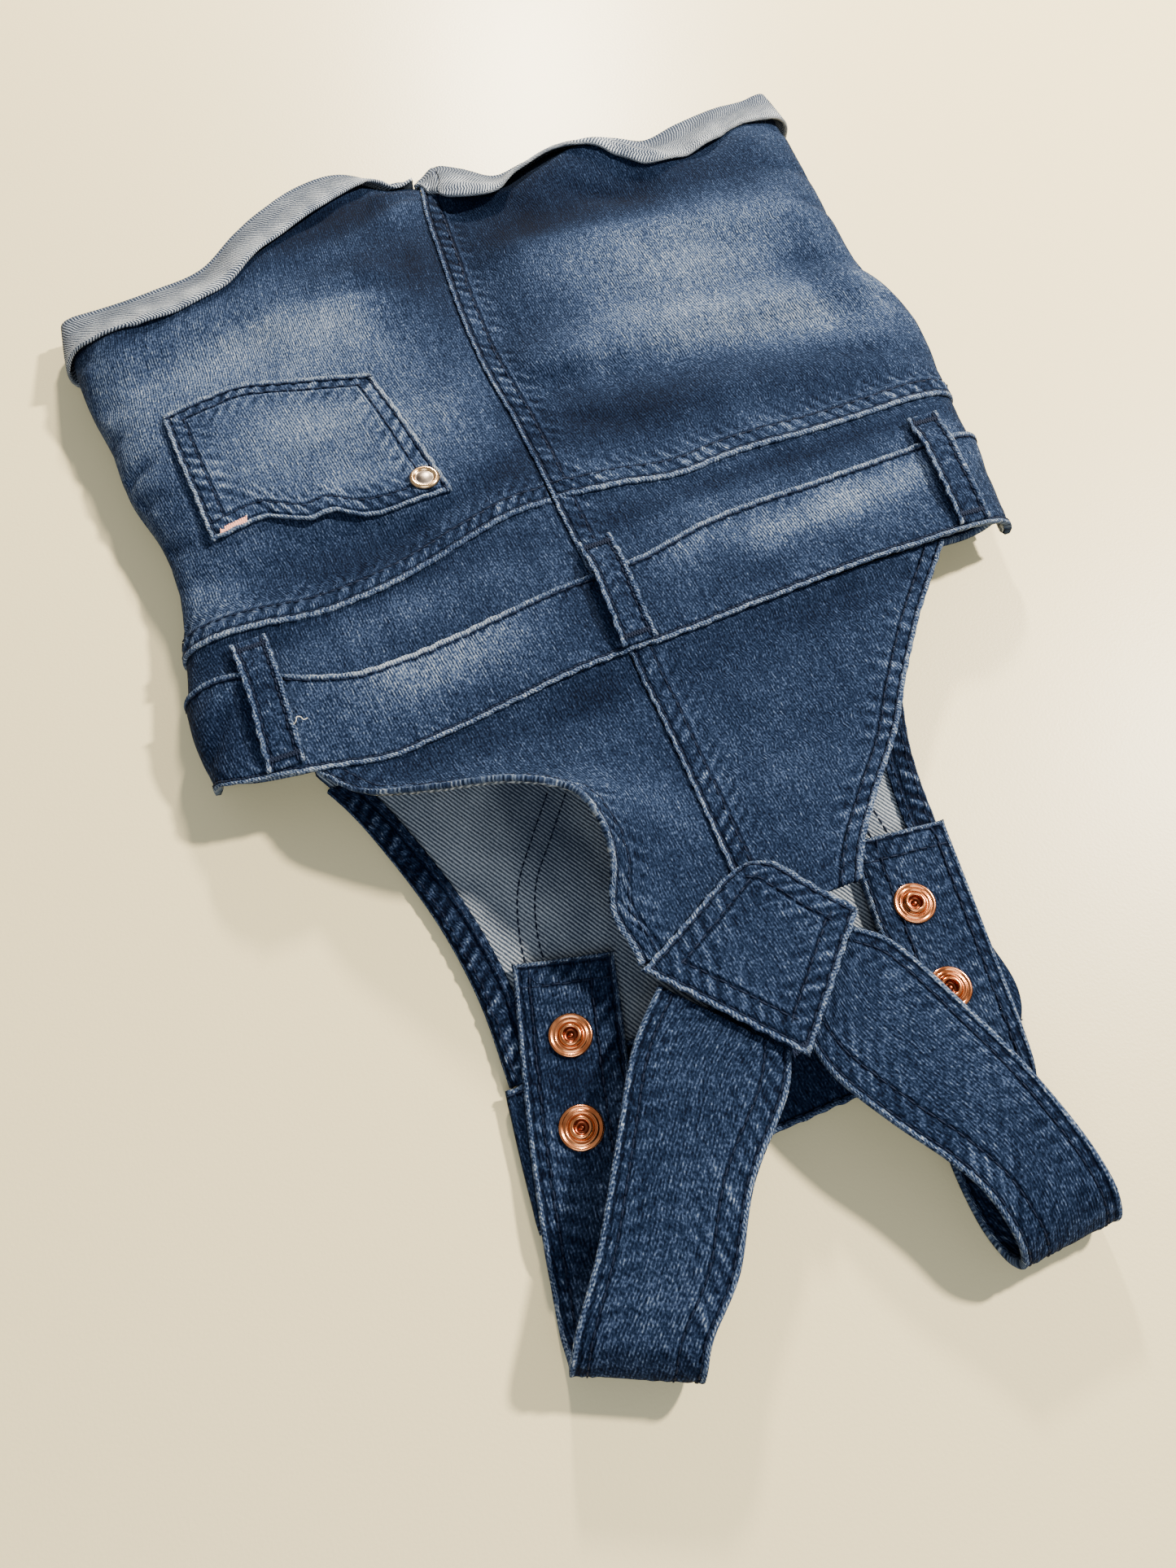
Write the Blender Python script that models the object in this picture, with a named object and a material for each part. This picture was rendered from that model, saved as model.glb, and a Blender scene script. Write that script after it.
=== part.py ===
"""Toddler's denim dungaree shorts, laid face down and flat on a table.

The front lies on the table with its outer face down. The back lies on top of it, the two
shoulder straps fold round at the head end, and they snap to the inside of the bib.
X runs across the garment, with the wearer's right side at -X. Y runs along it, from the
straps at -Y to the turned-up legs at +Y. Z is up, and the table is at Z = 0.
The tables and sizes are in millimetres.
"""
import math
from collections import namedtuple

import bpy
import numpy as np

MM = 0.001

# ---------------------------------------------------------------- driving sizes
DENIM = 1.2             # one layer of stretch denim
BAND = 2.4              # waistband: two layers
STRAP = 2.0             # strap: two layers, pressed
PATCH = 1.4             # patch over the strap crossing
LOOP = 1.5              # belt loop
HEM = 1.0               # turned hem, above the cloth that it is turned on
GAP = 0.3               # gap at every seam and under every piece that lies on another
SEAM_RAISE = 0.8        # how far a felled seam stands above the cloth
SEAM_WIDTH = 8.0        # width of the felled centre-back seam
SIDE_Z = 8.0            # height of the side seams above the table
SEAM_HALF = 0.45        # each outer face stops this far from the middle of a side seam
CUFF_GAP = 0.6          # air under a cuff next to its fold
ROLL_BACK = 22.0        # width over which the back cloth rolls down to the side seam
ROLL_FRONT = 13.0       # width over which the front cloth rolls up to it
LEG_ROLL = 11.0         # the same at the inseams, between the legs
CROTCH_START = 183.0    # y where the two legs begin to part
CROTCH_END = 191.0      # y where each leg is a closed tube
CUFF_TURN = 1.5         # how far the fold of a cuff stands past the cut end of the leg
BIB_LIFT = 1.6          # the bib's outer face, above its chest pocket
STRAP_ON_BIB = 4.6      # underside of a strap end, above the bib's turned hems
SNAP_RADIUS = 5.9
RIVET_RADIUS = 4.75
LOOP_WIDTH = 11.5
LOOP_RISES = [          # share of a loop's length, and its underside above the cloth there
    (0, 0.4), (0.10, 0.6), (0.26, 2.4), (0.5, 2.9), (0.8, 2.5), (0.93, 1.7), (1, 1.5),
]

# a half round of the body goes from the centre back, 0, by the side seam, 1, to the centre front, 2
INNER_SHARE = 0.14      # share of it that rolls at the inseam
SIDE_SHARE = 0.20       # share of it that rolls at the side seam
ROUND_BACK = [0, 0.015, 0.05, 0.095, 0.14, 0.19, 0.24, 0.29, 0.34, 0.39, 0.44, 0.49, 0.54, 0.585,
              0.63, 0.675, 0.72, 0.76, 0.80, 0.86, 0.92, 0.97, 1]
ROUND_FRONT = [1, 1.03, 1.08, 1.14, 1.20, 1.35, 1.5, 1.68, 1.86, 1.90, 1.95, 1.985, 2]
ROUND_ENDS = (0.003, 0.993, 1.011, 1.997)   # where the panels end, short of their seams

# shares of the way from a panel's upper seam to its hem, closer together at the crotch
ROWS_BACK = [0, 0.08, 0.16, 0.24, 0.32, 0.4, 0.48, 0.56, 0.64, 0.72, 0.79, 0.845, 0.875, 0.90,
             0.92, 0.94, 0.97, 1]
ROWS_FRONT = [0, 0.15, 0.3, 0.5, 0.65, 0.75, 0.82, 0.87, 0.895, 0.915, 0.935, 0.955, 0.975, 1]

RIGHT = -1              # the wearer's right side, at -X
LEFT = 1
SIDE_NAMES = {RIGHT: "right", LEFT: "left"}

# ---------------------------------------------------------------- short tables
Outline = namedtuple("Outline", "y right left")
OUTLINE = [             # side seams of the seat, yoke and waistband
    Outline(-20, -127, 126),
    Outline(0, -130, 130),
    Outline(16, -130, 133.5),
    Outline(27, -128, 135),
    Outline(38, -126, 136.5),
    Outline(57, -123, 141),
    Outline(78, -124, 142.5),
    Outline(100, -129, 137),
    Outline(121, -130, 137.5),
    Outline(142, -133.5, 140),
    Outline(162, -137, 142),
    Outline(184, -137, 144.5),
    Outline(206, -137, 146.5),
]

CentreSeam = namedtuple("CentreSeam", "y x")
CENTRE_SEAM = [         # ridge of the centre-back seam
    CentreSeam(-110, -7),
    CentreSeam(-60, -5),
    CentreSeam(8, -5.5),
    CentreSeam(40, -5.5),
    CentreSeam(75, -4.8),
    CentreSeam(102, -6.4),
    CentreSeam(128, -5.6),
    CentreSeam(155, -2.8),
    CentreSeam(180, -0.5),
    CentreSeam(206, 0),
]

Waist = namedtuple("Waist", "x bib_edge seat_edge")
WAIST_BACK = [          # the two long edges of the waistband, on the back
    Waist(-132, -10, 18),
    Waist(-120, -17.5, 18),
    Waist(-108, -20.5, 15),
    Waist(-95, -23, 8.5),
    Waist(-80, -26, 4),
    Waist(-62, -25, 4),
    Waist(-42, -22.5, 6),
    Waist(-15, -20, 9),
    Waist(10, -20, 10),
    Waist(35, -19, 14.5),
    Waist(75, -18, 15.5),
    Waist(110, -19, 16),
    Waist(134, -19, 17),
]
WAIST_FRONT = [         # and on the front, underneath
    Waist(-132, -6, 18),
    Waist(-112, -10, 15),
    Waist(0, -13, 13),
    Waist(112, -11, 14),
    Waist(134, -13, 17),
]

YokeSeam = namedtuple("YokeSeam", "x y")
YOKE_SEAM = [
    YokeSeam(-128, 32),
    YokeSeam(-102, 30),
    YokeSeam(-84, 27.5),
    YokeSeam(-60, 29.5),
    YokeSeam(-38, 35),
    YokeSeam(-20, 39.5),
    YokeSeam(-4, 40),
    YokeSeam(16, 38),
    YokeSeam(34, 34.5),
    YokeSeam(55, 35.5),
    YokeSeam(85, 34),
    YokeSeam(138, 34),
]

Cuff = namedtuple("Cuff", "x fold_y fold_z rim_y rim_z")
CUFF_BACK = {           # fold and free rim of each turned-up cuff, along the back of the leg
    RIGHT: [
        Cuff(-138, 184, 13, 162, 17),
        Cuff(-125, 183.5, 13, 158, 24),
        Cuff(-100, 184, 14, 160, 25),
        Cuff(-80, 188.5, 14, 164.5, 26),
        Cuff(-66, 198, 16, 171, 27),
        Cuff(-52, 206, 17, 180, 26),
        Cuff(-38, 213, 16, 190, 24),
        Cuff(-22, 214.5, 15, 200, 20.5),
        Cuff(-6, 211, 13, 204, 16),
    ],
    LEFT: [
        Cuff(5, 200, 13, 194, 16),
        Cuff(13, 205, 14, 184, 21),
        Cuff(21, 201, 14, 176, 24),
        Cuff(30, 194, 14, 172, 26),
        Cuff(43, 197, 13, 175, 28),
        Cuff(60, 202, 13, 180, 29),
        Cuff(76, 199, 13, 176, 28),
        Cuff(89, 189, 15, 165, 26),
        Cuff(104, 190, 17, 164, 24),
        Cuff(122, 194, 16, 168, 24),
        Cuff(138, 198, 13, 177, 19),
        Cuff(147, 201, 13, 180, 16),
    ],
}
CUFF_WIDTH_FRONT = 25.0  # width of the cuff underneath, where it lies flat
CUFF_WIDTH_INSEAM = 6.0  # and where it turns between the legs

Height = namedtuple("Height", "y z")
BACK_HEIGHT = [         # outer face of the back cloth, along the middle
    Height(-150, 19),
    Height(-120, 18),
    Height(-90, 17),
    Height(-55, 17),
    Height(-20, 19.5),
    Height(40, 20),
    Height(85, 20),
    Height(125, 21),
    Height(160, 20),
    Height(206, 18),
]

Fold = namedtuple("Fold", "x0 y0 x1 y1 reach rise")
FOLDS = [               # soft ridges and troughs of the back cloth, along straight lines
    Fold(10, 98, 132, 87, 8, 3.0),
    Fold(14, 83, 130, 74, 7, -2.2),
    Fold(28, 140, 118, 128, 20, 3.0),
    Fold(-126, 150, -30, 157, 9, 3.0),
    Fold(-124, 135, -74, 139, 8, -2.0),
    Fold(-92, 96, -50, 90, 26, 1.8),
    Fold(-4, 66, 2, 178, 11, -2.5),
    Fold(-112, 52, -60, 48, 9, -1.6),
    Fold(-92, -14, -50, -12, 12, -1.6),
    Fold(40, 60, 118, 56, 10, 1.6),
    Fold(8, -60, 60, -34, 14, -1.8),
    Fold(-40, -34, 40, -30, 9, -1.2),
]

Armhole = namedtuple("Armhole", "y x z")
BACK_ARMHOLE = {        # armhole edges of the back bib; the right one has curled up
    LEFT: [
        Armhole(-108, 25.5, 17),
        Armhole(-99, 31, 16),
        Armhole(-84.5, 43.5, 15),
        Armhole(-70, 57.5, 15),
        Armhole(-56, 68, 15),
        Armhole(-40, 81, 16),
        Armhole(-18, 102, 18),
    ],
    RIGHT: [
        Armhole(-108, -39.5, 18.5),
        Armhole(-104, -39.5, 19),
        Armhole(-92, -41.5, 24),
        Armhole(-80, -36.5, 30),
        Armhole(-70, -36, 34),
        Armhole(-58, -42, 36),
        Armhole(-51, -54.5, 36),
        Armhole(-43.5, -72, 30),
        Armhole(-36, -88, 24),
        Armhole(-22, -101, 18.5),
    ],
}
BIB_BACK_END = -107.0    # where the back bib ends, hidden by the patch
BIB_SHARES = (0, 0.04, 0.1, 0.2, 0.34, 0.48, 0.62, 0.75, 0.87, 1)   # centre seam to armhole
BIB_CURL = {RIGHT: 2.2, LEFT: 1.5}      # how close to the armhole the cloth curls up
PATCH_BED = 1.6          # the patch lies this far above the cloth of the back bib

Bib = namedtuple("Bib", "y right left")
BIB_FRONT = [           # armhole edges of the front bib
    Bib(-121, -80.5, 56.5),
    Bib(-95, -80, 58.5),
    Bib(-71, -83, 63.5),
    Bib(-48, -89, 73),
    Bib(-28, -96, 84),
    Bib(-14, -103, 94),
]
BIB_BAND = [            # the folded band along the top of the bib
    Bib(-157.5, -87.5, 50.5),
    Bib(-152, -87, 54),
    Bib(-131, -84.5, 55),
    Bib(-121, -83, 55.5),
]
BIB_BAND_ROWS = (-121.3, -126, -132, -142, -151, -157.5)
BIB_HEM_WIDTH = 8.5

Strap = namedtuple("Strap", "xa ya xb yb z")
STRAP_PATH = {          # both edges and the height of the outer face, from the patch round
    RIGHT: [            # the fold to the snapped end
        Strap(-37, -113, -12.5, -142, 19),
        Strap(-50, -126, -18.5, -151.5, 19.5),
        Strap(-63, -146, -35, -167, 20.5),
        Strap(-76, -166, -47, -184, 20.5),
        Strap(-87, -180, -58, -194, 18.5),
        Strap(-91, -186, -62, -200, 14.5),
        Strap(-92.5, -188.5, -63.5, -202, 9),
        Strap(-92, -186.5, -63.5, -199, 3.2),
        Strap(-91.5, -180, -63, -190, 0.4),
        Strap(-89.5, -169, -61, -174, 0.6),
        Strap(-88, -161, -59.5, -165.5, 3.6),
        Strap(-86, -152, -57.5, -156.5, STRAP_ON_BIB),
        Strap(-81.5, -133, -53.5, -139, STRAP_ON_BIB),
        Strap(-75, -109.5, -47, -115.5, STRAP_ON_BIB),
        Strap(-69.5, -90, -42, -97, STRAP_ON_BIB),
    ],
    LEFT: [
        Strap(-8, -140, 17, -118, 19),
        Strap(-6, -152, 25.5, -127, 19.5),
        Strap(1.5, -167, 34, -149.5, 20.5),
        Strap(9.7, -180, 40, -168, 20.5),
        Strap(14.5, -190, 44, -186, 20),
        Strap(16.5, -200, 45.7, -198, 18),
        Strap(17.3, -206, 46.2, -204.5, 14),
        Strap(17.3, -208.8, 46, -208, 9),
        Strap(16.3, -205.5, 45.4, -206, 3.2),
        Strap(15.4, -196, 44.6, -198, 0.4),
        Strap(15.9, -182, 45.5, -185, 0.4),
        Strap(18.3, -169, 47.5, -173, 0.6),
        Strap(19.8, -161, 49, -165.5, 3.6),
        Strap(21.5, -152, 50.5, -156.5, STRAP_ON_BIB),
        Strap(25, -132, 54, -136, STRAP_ON_BIB),
        Strap(28, -112, 57.3, -116, STRAP_ON_BIB),
        Strap(31.5, -93, 60.4, -97, STRAP_ON_BIB),
    ],
}

Spot = namedtuple("Spot", "name x y")
SNAPS = [
    Spot("snap_right_end", -61.9, -114.4),
    Spot("snap_right_inner", -68.2, -137.4),
    Spot("snap_left_end", 39.7, -116.6),
    Spot("snap_left_inner", 36.9, -141.2),
]
RIVET = Spot("pocket_rivet", -39.8, 61.5)

BeltLoop = namedtuple("BeltLoop", "name top_x top_y end_x end_y")
BELT_LOOPS = [
    BeltLoop("belt_loop_right", -106.9, 26, -107.2, -18.5),
    BeltLoop("belt_loop_centre", -0.3, 20.5, -0.6, -19),
    BeltLoop("belt_loop_left", 116.6, 26, 112.2, -17.5),
]

Corner = namedtuple("Corner", "x y round")
PATCH_CORNERS = [       # outline of the patch, with the radius at each corner
    Corner(-40, -108.5, 1.5),
    Corner(-6, -92, 8),
    Corner(4.5, -93, 6),
    Corner(20.3, -115, 2),
    Corner(-10, -145.5, 1.5),
]
POCKET_CORNERS = [      # outline of the back pocket, whose opening faces the waistband
    Corner(-107.8, 66, 1.5),
    Corner(-70, 58.5, 30),
    Corner(-32.8, 54.5, 1.5),
    Corner(-42, 109, 2),
    Corner(-80.5, 120.5, 3),
    Corner(-110, 117.5, 2),
]
BIB_POCKET_CORNERS = [  # outline of the chest pocket, under the bib
    Corner(-66, -100, 3),
    Corner(45, -100, 3),
    Corner(46, -62, 12),
    Corner(28, -38, 12),
    Corner(-48, -38, 12),
    Corner(-66, -62, 12),
]


# ---------------------------------------------------------------- curves and surfaces
def smooth(at, known_at, known):
    """Value at `at` on a smooth curve through a table's points."""
    at = np.asarray(at, float)
    known_at = np.asarray(known_at, float)
    known = np.asarray(known, float)
    slopes = np.gradient(known, known_at)
    i = np.clip(np.searchsorted(known_at, at) - 1, 0, len(known_at) - 2)
    span = known_at[i + 1] - known_at[i]
    s = np.clip((at - known_at[i]) / span, 0.0, 1.0)
    start = (2 * s ** 3 - 3 * s ** 2 + 1) * known[i] + (s ** 3 - 2 * s ** 2 + s) * span * slopes[i]
    end = (3 * s ** 2 - 2 * s ** 3) * known[i + 1] + (s ** 3 - s ** 2) * span * slopes[i + 1]
    return start + end


def column(rows, name):
    return [getattr(row, name) for row in rows]


def read(rows, by, name, at):
    """Reads one column of a table at a place between its rows."""
    return smooth(at, column(rows, by), column(rows, name))


def ease(value, low, high):
    """Goes smoothly from 0 at low to 1 at high."""
    s = np.clip((value - low) / (high - low), 0.0, 1.0)
    return s * s * (3 - 2 * s)


def blend(a, b, share):
    return a + (b - a) * share


def side_x(side, y):
    """Side seam of the seat, yoke and waistband."""
    return read(OUTLINE, "y", SIDE_NAMES[side], y)


def centre_x(y, side=0):
    """Ridge of the centre seam; past the crotch, each leg has its own inner edge."""
    apart = ease(y, CROTCH_START, CROTCH_END)
    return read(CENTRE_SEAM, "y", "x", y) + side * apart * 5.5


def fold_height(x, y):
    """Sum of the soft folds of the back cloth."""
    total = np.zeros(np.broadcast(x, y).shape)
    for fold in FOLDS:
        along = np.array([fold.x1 - fold.x0, fold.y1 - fold.y0], float)
        length = np.hypot(*along)
        along /= length
        s = np.clip((x - fold.x0) * along[0] + (y - fold.y0) * along[1], 0, length)
        distance = np.hypot(x - fold.x0 - s * along[0], y - fold.y0 - s * along[1])
        total = total + fold.rise * np.exp(-(distance / fold.reach) ** 2)
    return total


def back_height(x, y):
    """Outer face of the back cloth, before it rolls down to the side seams."""
    toward_left = ease(x, -14, 14)
    near_hem = 0.0
    hem_z = 0.0
    for side, share in ((RIGHT, 1 - toward_left), (LEFT, toward_left)):
        cuff = CUFF_BACK[side]
        inside = np.clip(x, cuff[0].x, cuff[-1].x)
        fold_y = read(cuff, "x", "fold_y", inside)
        near_hem += share * ease(y, fold_y - 34, fold_y - 3)
        hem_z += share * (read(cuff, "x", "fold_z", inside) - CUFF_TURN)
    flat_z = read(BACK_HEIGHT, "y", "z", y) + fold_height(x, y)
    return blend(flat_z, hem_z, near_hem)


def seam_raise(x, y):
    """The felled centre seam, which stands a little above the cloth."""
    away = x - centre_x(y)
    return SEAM_RAISE * ease(away, -0.05, 0.05) * (1 - ease(away, SEAM_WIDTH - 1, SEAM_WIDTH))


def roll_width(side, y):
    """Width over which the back rolls down to its side seam; less where the back is low."""
    drop = back_height(side_x(side, y) - side * ROLL_BACK / 2, y) - SIDE_Z
    return np.clip(drop * 1.8, 4.0, ROLL_BACK)


def cloth_height(x, y):
    """Outer face of the back cloth with its rolled sides, for pieces that lie on it."""
    side = np.where(x > centre_x(y), LEFT, RIGHT)
    edge = np.where(side == LEFT, side_x(LEFT, y), side_x(RIGHT, y))
    roll = np.where(side == LEFT, roll_width(LEFT, y), roll_width(RIGHT, y))
    into_roll = np.clip(1 - (edge - x) * side / roll, 0, 1)
    return SIDE_Z + (back_height(x, y) - SIDE_Z) * np.sqrt(1 - into_roll ** 2)


def leg_point(side, t, y, offset=0.0):
    """Point on the outer face of the seat and leg.

    t runs round the garment's half: 0 at the centre back, 1 at the side seam and 2 at the
    centre front. Past the crotch, 0 and 2 are both the inseam. Offset is along the outward
    normal.
    """
    if offset:
        step = 0.004
        low = max(t - step, 0.0)
        high = min(t + step, 2.0)
        if low < 1 < high:
            low, high = (low, 1.0) if t <= 1 else (1.0, high)
        round_way = leg_point(side, high, y) - leg_point(side, low, y)
        long_way = leg_point(side, t, y + 0.5) - leg_point(side, t, y - 0.5)
        normal = np.cross(round_way, long_way) * side
        return leg_point(side, t, y) + normal / np.linalg.norm(normal) * offset
    inner = centre_x(y, side)
    outer = side_x(side, y)
    parted = float(ease(y, CROTCH_START, CROTCH_END))
    back = t <= 1
    roll = roll_width(side, y) if back else ROLL_FRONT
    share = t if back else 2 - t
    flat_from = inner + side * LEG_ROLL
    flat_to = outer - side * roll
    if share < INNER_SHARE:
        away = 1 - share / INNER_SHARE
        angle = away * math.pi / 2
        x = flat_from - side * LEG_ROLL * blend(away, math.sin(angle), parted)
        full = blend(1.0, math.cos(angle), parted)
    elif share > 1 - SIDE_SHARE:
        angle = (share - 1 + SIDE_SHARE) / SIDE_SHARE * math.pi / 2
        x = flat_to + side * roll * math.sin(angle)
        full = math.cos(angle)
    else:
        x = blend(flat_from, flat_to, (share - INNER_SHARE) / (1 - SIDE_SHARE - INNER_SHARE))
        full = 1.0
    face = float(back_height(x, y) + seam_raise(x, y)) if back else front_height(side, x, y)
    seam_z = SIDE_Z + SEAM_HALF * (1 if back else -1)
    return np.array([float(x), y, seam_z + (face - seam_z) * full])


def front_height(side, x, y):
    """Outer face of the front cloth: on the table, and on its own cuff near the hem."""
    rim_y = hem_y(side, x, True) - CUFF_WIDTH_FRONT
    return float(ease(y, rim_y - 14, rim_y - 3)) * (DENIM + GAP)


def hem_y(side, x, front=False):
    """Where the cloth of a leg ends, inside the fold of its cuff; straight on the front."""
    cuff = CUFF_BACK[side]
    inside = np.clip(x, cuff[0].x, cuff[-1].x)
    if front:
        fold_y = np.interp(inside, [cuff[0].x, cuff[-1].x], [cuff[0].fold_y, cuff[-1].fold_y])
    else:
        fold_y = read(cuff, "x", "fold_y", inside)
    return float(fold_y) - CUFF_TURN


def seam_line(rows, name, x):
    low = rows[0].x
    high = rows[-1].x
    return float(read(rows, "x", name, np.clip(x, low, high)))


# ---------------------------------------------------------------- solids
def material(name, colour, rough, metal=0.0):
    made = bpy.data.materials.new(name)
    made.use_nodes = True
    shader = made.node_tree.nodes["Principled BSDF"]
    shader.inputs["Base Color"].default_value = (*colour, 1.0)
    shader.inputs["Roughness"].default_value = rough
    shader.inputs["Metallic"].default_value = metal
    return made


def solid(name, points, faces, finish):
    """Makes one named object from points in millimetres."""
    mesh = bpy.data.meshes.new(name)
    mesh.from_pydata([tuple(point * MM) for point in points], [], faces)
    mesh.update()
    mesh.shade_smooth()
    mesh.set_sharp_from_angle(angle=math.radians(40))
    mesh.materials.append(finish)
    made = bpy.data.objects.new(name, mesh)
    bpy.context.scene.collection.objects.link(made)
    return made


def wall(name, outer, thickness, finish, face_up=True):
    """A wall of cloth from a grid of points on its outer face."""
    outer = np.asarray(outer, float)
    rows, across = outer.shape[:2]
    normal = np.cross(np.gradient(outer, axis=0), np.gradient(outer, axis=1))
    normal /= np.linalg.norm(normal, axis=2, keepdims=True)
    turned = (normal[0, across // 2, 2] > 0) != face_up
    if turned:
        normal = -normal
    inner = outer - normal * thickness
    points = np.concatenate([outer.reshape(-1, 3), inner.reshape(-1, 3)])
    below = rows * across

    def at(i, j):
        return i * across + j

    faces = []
    for i in range(rows - 1):
        for j in range(across - 1):
            quad = [at(i, j), at(i + 1, j), at(i + 1, j + 1), at(i, j + 1)]
            faces.append(quad)
            faces.append([corner + below for corner in reversed(quad)])
    rim = [at(i, 0) for i in range(rows)]
    rim += [at(rows - 1, j) for j in range(1, across)]
    rim += [at(i, across - 1) for i in range(rows - 2, -1, -1)]
    rim += [at(0, j) for j in range(across - 2, 0, -1)]
    for a, b in zip(rim, rim[1:] + rim[:1]):
        faces.append([b, a, a + below, b + below])
    if turned:
        faces = [face[::-1] for face in faces]
    return solid(name, points, faces, finish)


def rounded(corners, arc_steps=4, side_steps=3):
    """Closed outline through corners, each with its own radius."""
    count = len(corners)
    outline = []
    for k, corner in enumerate(corners):
        here = np.array([corner.x, corner.y], float)
        before = np.array(corners[k - 1][:2], float) - here
        after = np.array(corners[(k + 1) % count][:2], float) - here
        before_unit = before / np.hypot(*before)
        after_unit = after / np.hypot(*after)
        half = math.acos(np.clip(before_unit @ after_unit, -1, 1)) / 2
        cut = min(corner.round / math.tan(half), np.hypot(*before) * 0.45, np.hypot(*after) * 0.45)
        start = here + before_unit * cut
        end = here + after_unit * cut
        for s in np.linspace(0, 1, arc_steps):
            outline.append((1 - s) ** 2 * start + 2 * s * (1 - s) * here + s ** 2 * end)
    points = []
    for a, b in zip(outline, outline[1:] + outline[:1]):
        steps = side_steps if np.hypot(*(b - a)) > 12 else 1
        points += [blend(a, b, s / steps) for s in range(steps)]
    return np.array(points)


def laid_piece(name, corners, height, thickness, finish, rings=(1.0, 0.8, 0.5, 0.2)):
    """A flat piece that follows what it lies on; height gives its top face."""
    outline = rounded(corners)
    middle = outline.mean(axis=0)
    plan = [middle + (outline - middle) * ring for ring in rings]
    flat = np.concatenate(plan + [middle[None]])
    top = np.column_stack([flat, [height(x, y) for x, y in flat]])
    bottom = top - [0, 0, thickness]
    points = np.concatenate([top, bottom])
    count = len(outline)
    below = len(flat)
    if signed_area(outline) < 0:
        order = list(range(count))[::-1]
    else:
        order = list(range(count))
    faces = []
    for a, b in zip(order, order[1:] + order[:1]):
        for ring in range(len(rings) - 1):
            quad = [ring * count + a, ring * count + b, (ring + 1) * count + b, (ring + 1) * count + a]
            faces.append(quad)
            faces.append([corner + below for corner in reversed(quad)])
        last = (len(rings) - 1) * count
        faces.append([last + a, last + b, below - 1])
        faces.append([last + b + below, last + a + below, 2 * below - 1])
        faces.append([b, a, a + below, b + below])
    return solid(name, points, faces, finish)


def signed_area(outline):
    x, y = outline.T
    return (x * np.roll(y, -1) - np.roll(x, -1) * y).sum() / 2


def turned_piece(name, spot, base_z, profile, finish, segments=20, tilt=(0.0, 0.0)):
    """A round metal piece: profile holds (radius, height) from the axis below to the axis above."""
    points = [np.array([spot.x, spot.y, base_z + profile[0][1]])]
    for radius, height in profile[1:-1]:
        for k in range(segments):
            angle = 2 * math.pi * k / segments
            dx = radius * math.cos(angle)
            dy = radius * math.sin(angle)
            lean = tilt[0] * dx + tilt[1] * dy
            points.append(np.array([spot.x + dx, spot.y + dy, base_z + height + lean]))
    points.append(np.array([spot.x, spot.y, base_z + profile[-1][1]]))
    rings = len(profile) - 2
    faces = []
    for k in range(segments):
        nxt = (k + 1) % segments
        faces.append([0, 1 + nxt, 1 + k])
        for ring in range(rings - 1):
            a = 1 + ring * segments
            b = a + segments
            faces.append([a + k, a + nxt, b + nxt, b + k])
        last = 1 + (rings - 1) * segments
        faces.append([last + k, last + nxt, len(points) - 1])
    return solid(name, points, faces, finish)


# ---------------------------------------------------------------- seat, legs, yokes
def panel_point(side, t, low_line, high_line, share):
    """Point of a panel between two seam lines, each a function of x."""
    y = blend(low_line(0.0), high_line(0.0), share)
    for _ in range(4):
        x = leg_point(side, t, y)[0]
        y = blend(low_line(x), high_line(x), share)
    return leg_point(side, t, y)


def back_round():
    """Stations of a back panel, which stops short of its seams."""
    return [ROUND_ENDS[0]] + ROUND_BACK[1:-1] + [ROUND_ENDS[1]]


def front_round():
    return [ROUND_ENDS[2]] + ROUND_FRONT[1:-1] + [ROUND_ENDS[3]]


def make_back(side, denim):
    """Seat and back of one leg, from the yoke seam to the hem."""
    rounds = back_round()

    def low(x):
        return seam_line(YOKE_SEAM, "y", x) + GAP / 2

    def high(x):
        return hem_y(side, x)

    grid = [[panel_point(side, t, low, high, share) for t in rounds] for share in ROWS_BACK]
    return wall("back_" + SIDE_NAMES[side], grid, DENIM, denim)


def make_yoke(side, denim):
    """Yoke, between the waistband and the seat."""
    rounds = back_round()

    def low(x):
        return seam_line(WAIST_BACK, "seat_edge", x) + 1.5 * GAP

    def high(x):
        return seam_line(YOKE_SEAM, "y", x) - GAP / 2

    shares = (0, 0.25, 0.5, 0.75, 1)
    grid = [[panel_point(side, t, low, high, share) for t in rounds] for share in shares]
    return wall("yoke_" + SIDE_NAMES[side], grid, DENIM, denim)


def make_front(side, denim):
    """Front of one leg, underneath, with its outer face on the table."""
    rounds = front_round()

    def low(x):
        return seam_line(WAIST_FRONT, "seat_edge", x) + GAP

    def high(x):
        return hem_y(side, x, True)

    grid = [[panel_point(side, t, low, high, share) for t in rounds] for share in ROWS_FRONT]
    return wall("front_" + SIDE_NAMES[side], grid, DENIM, denim, face_up=False)


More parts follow.
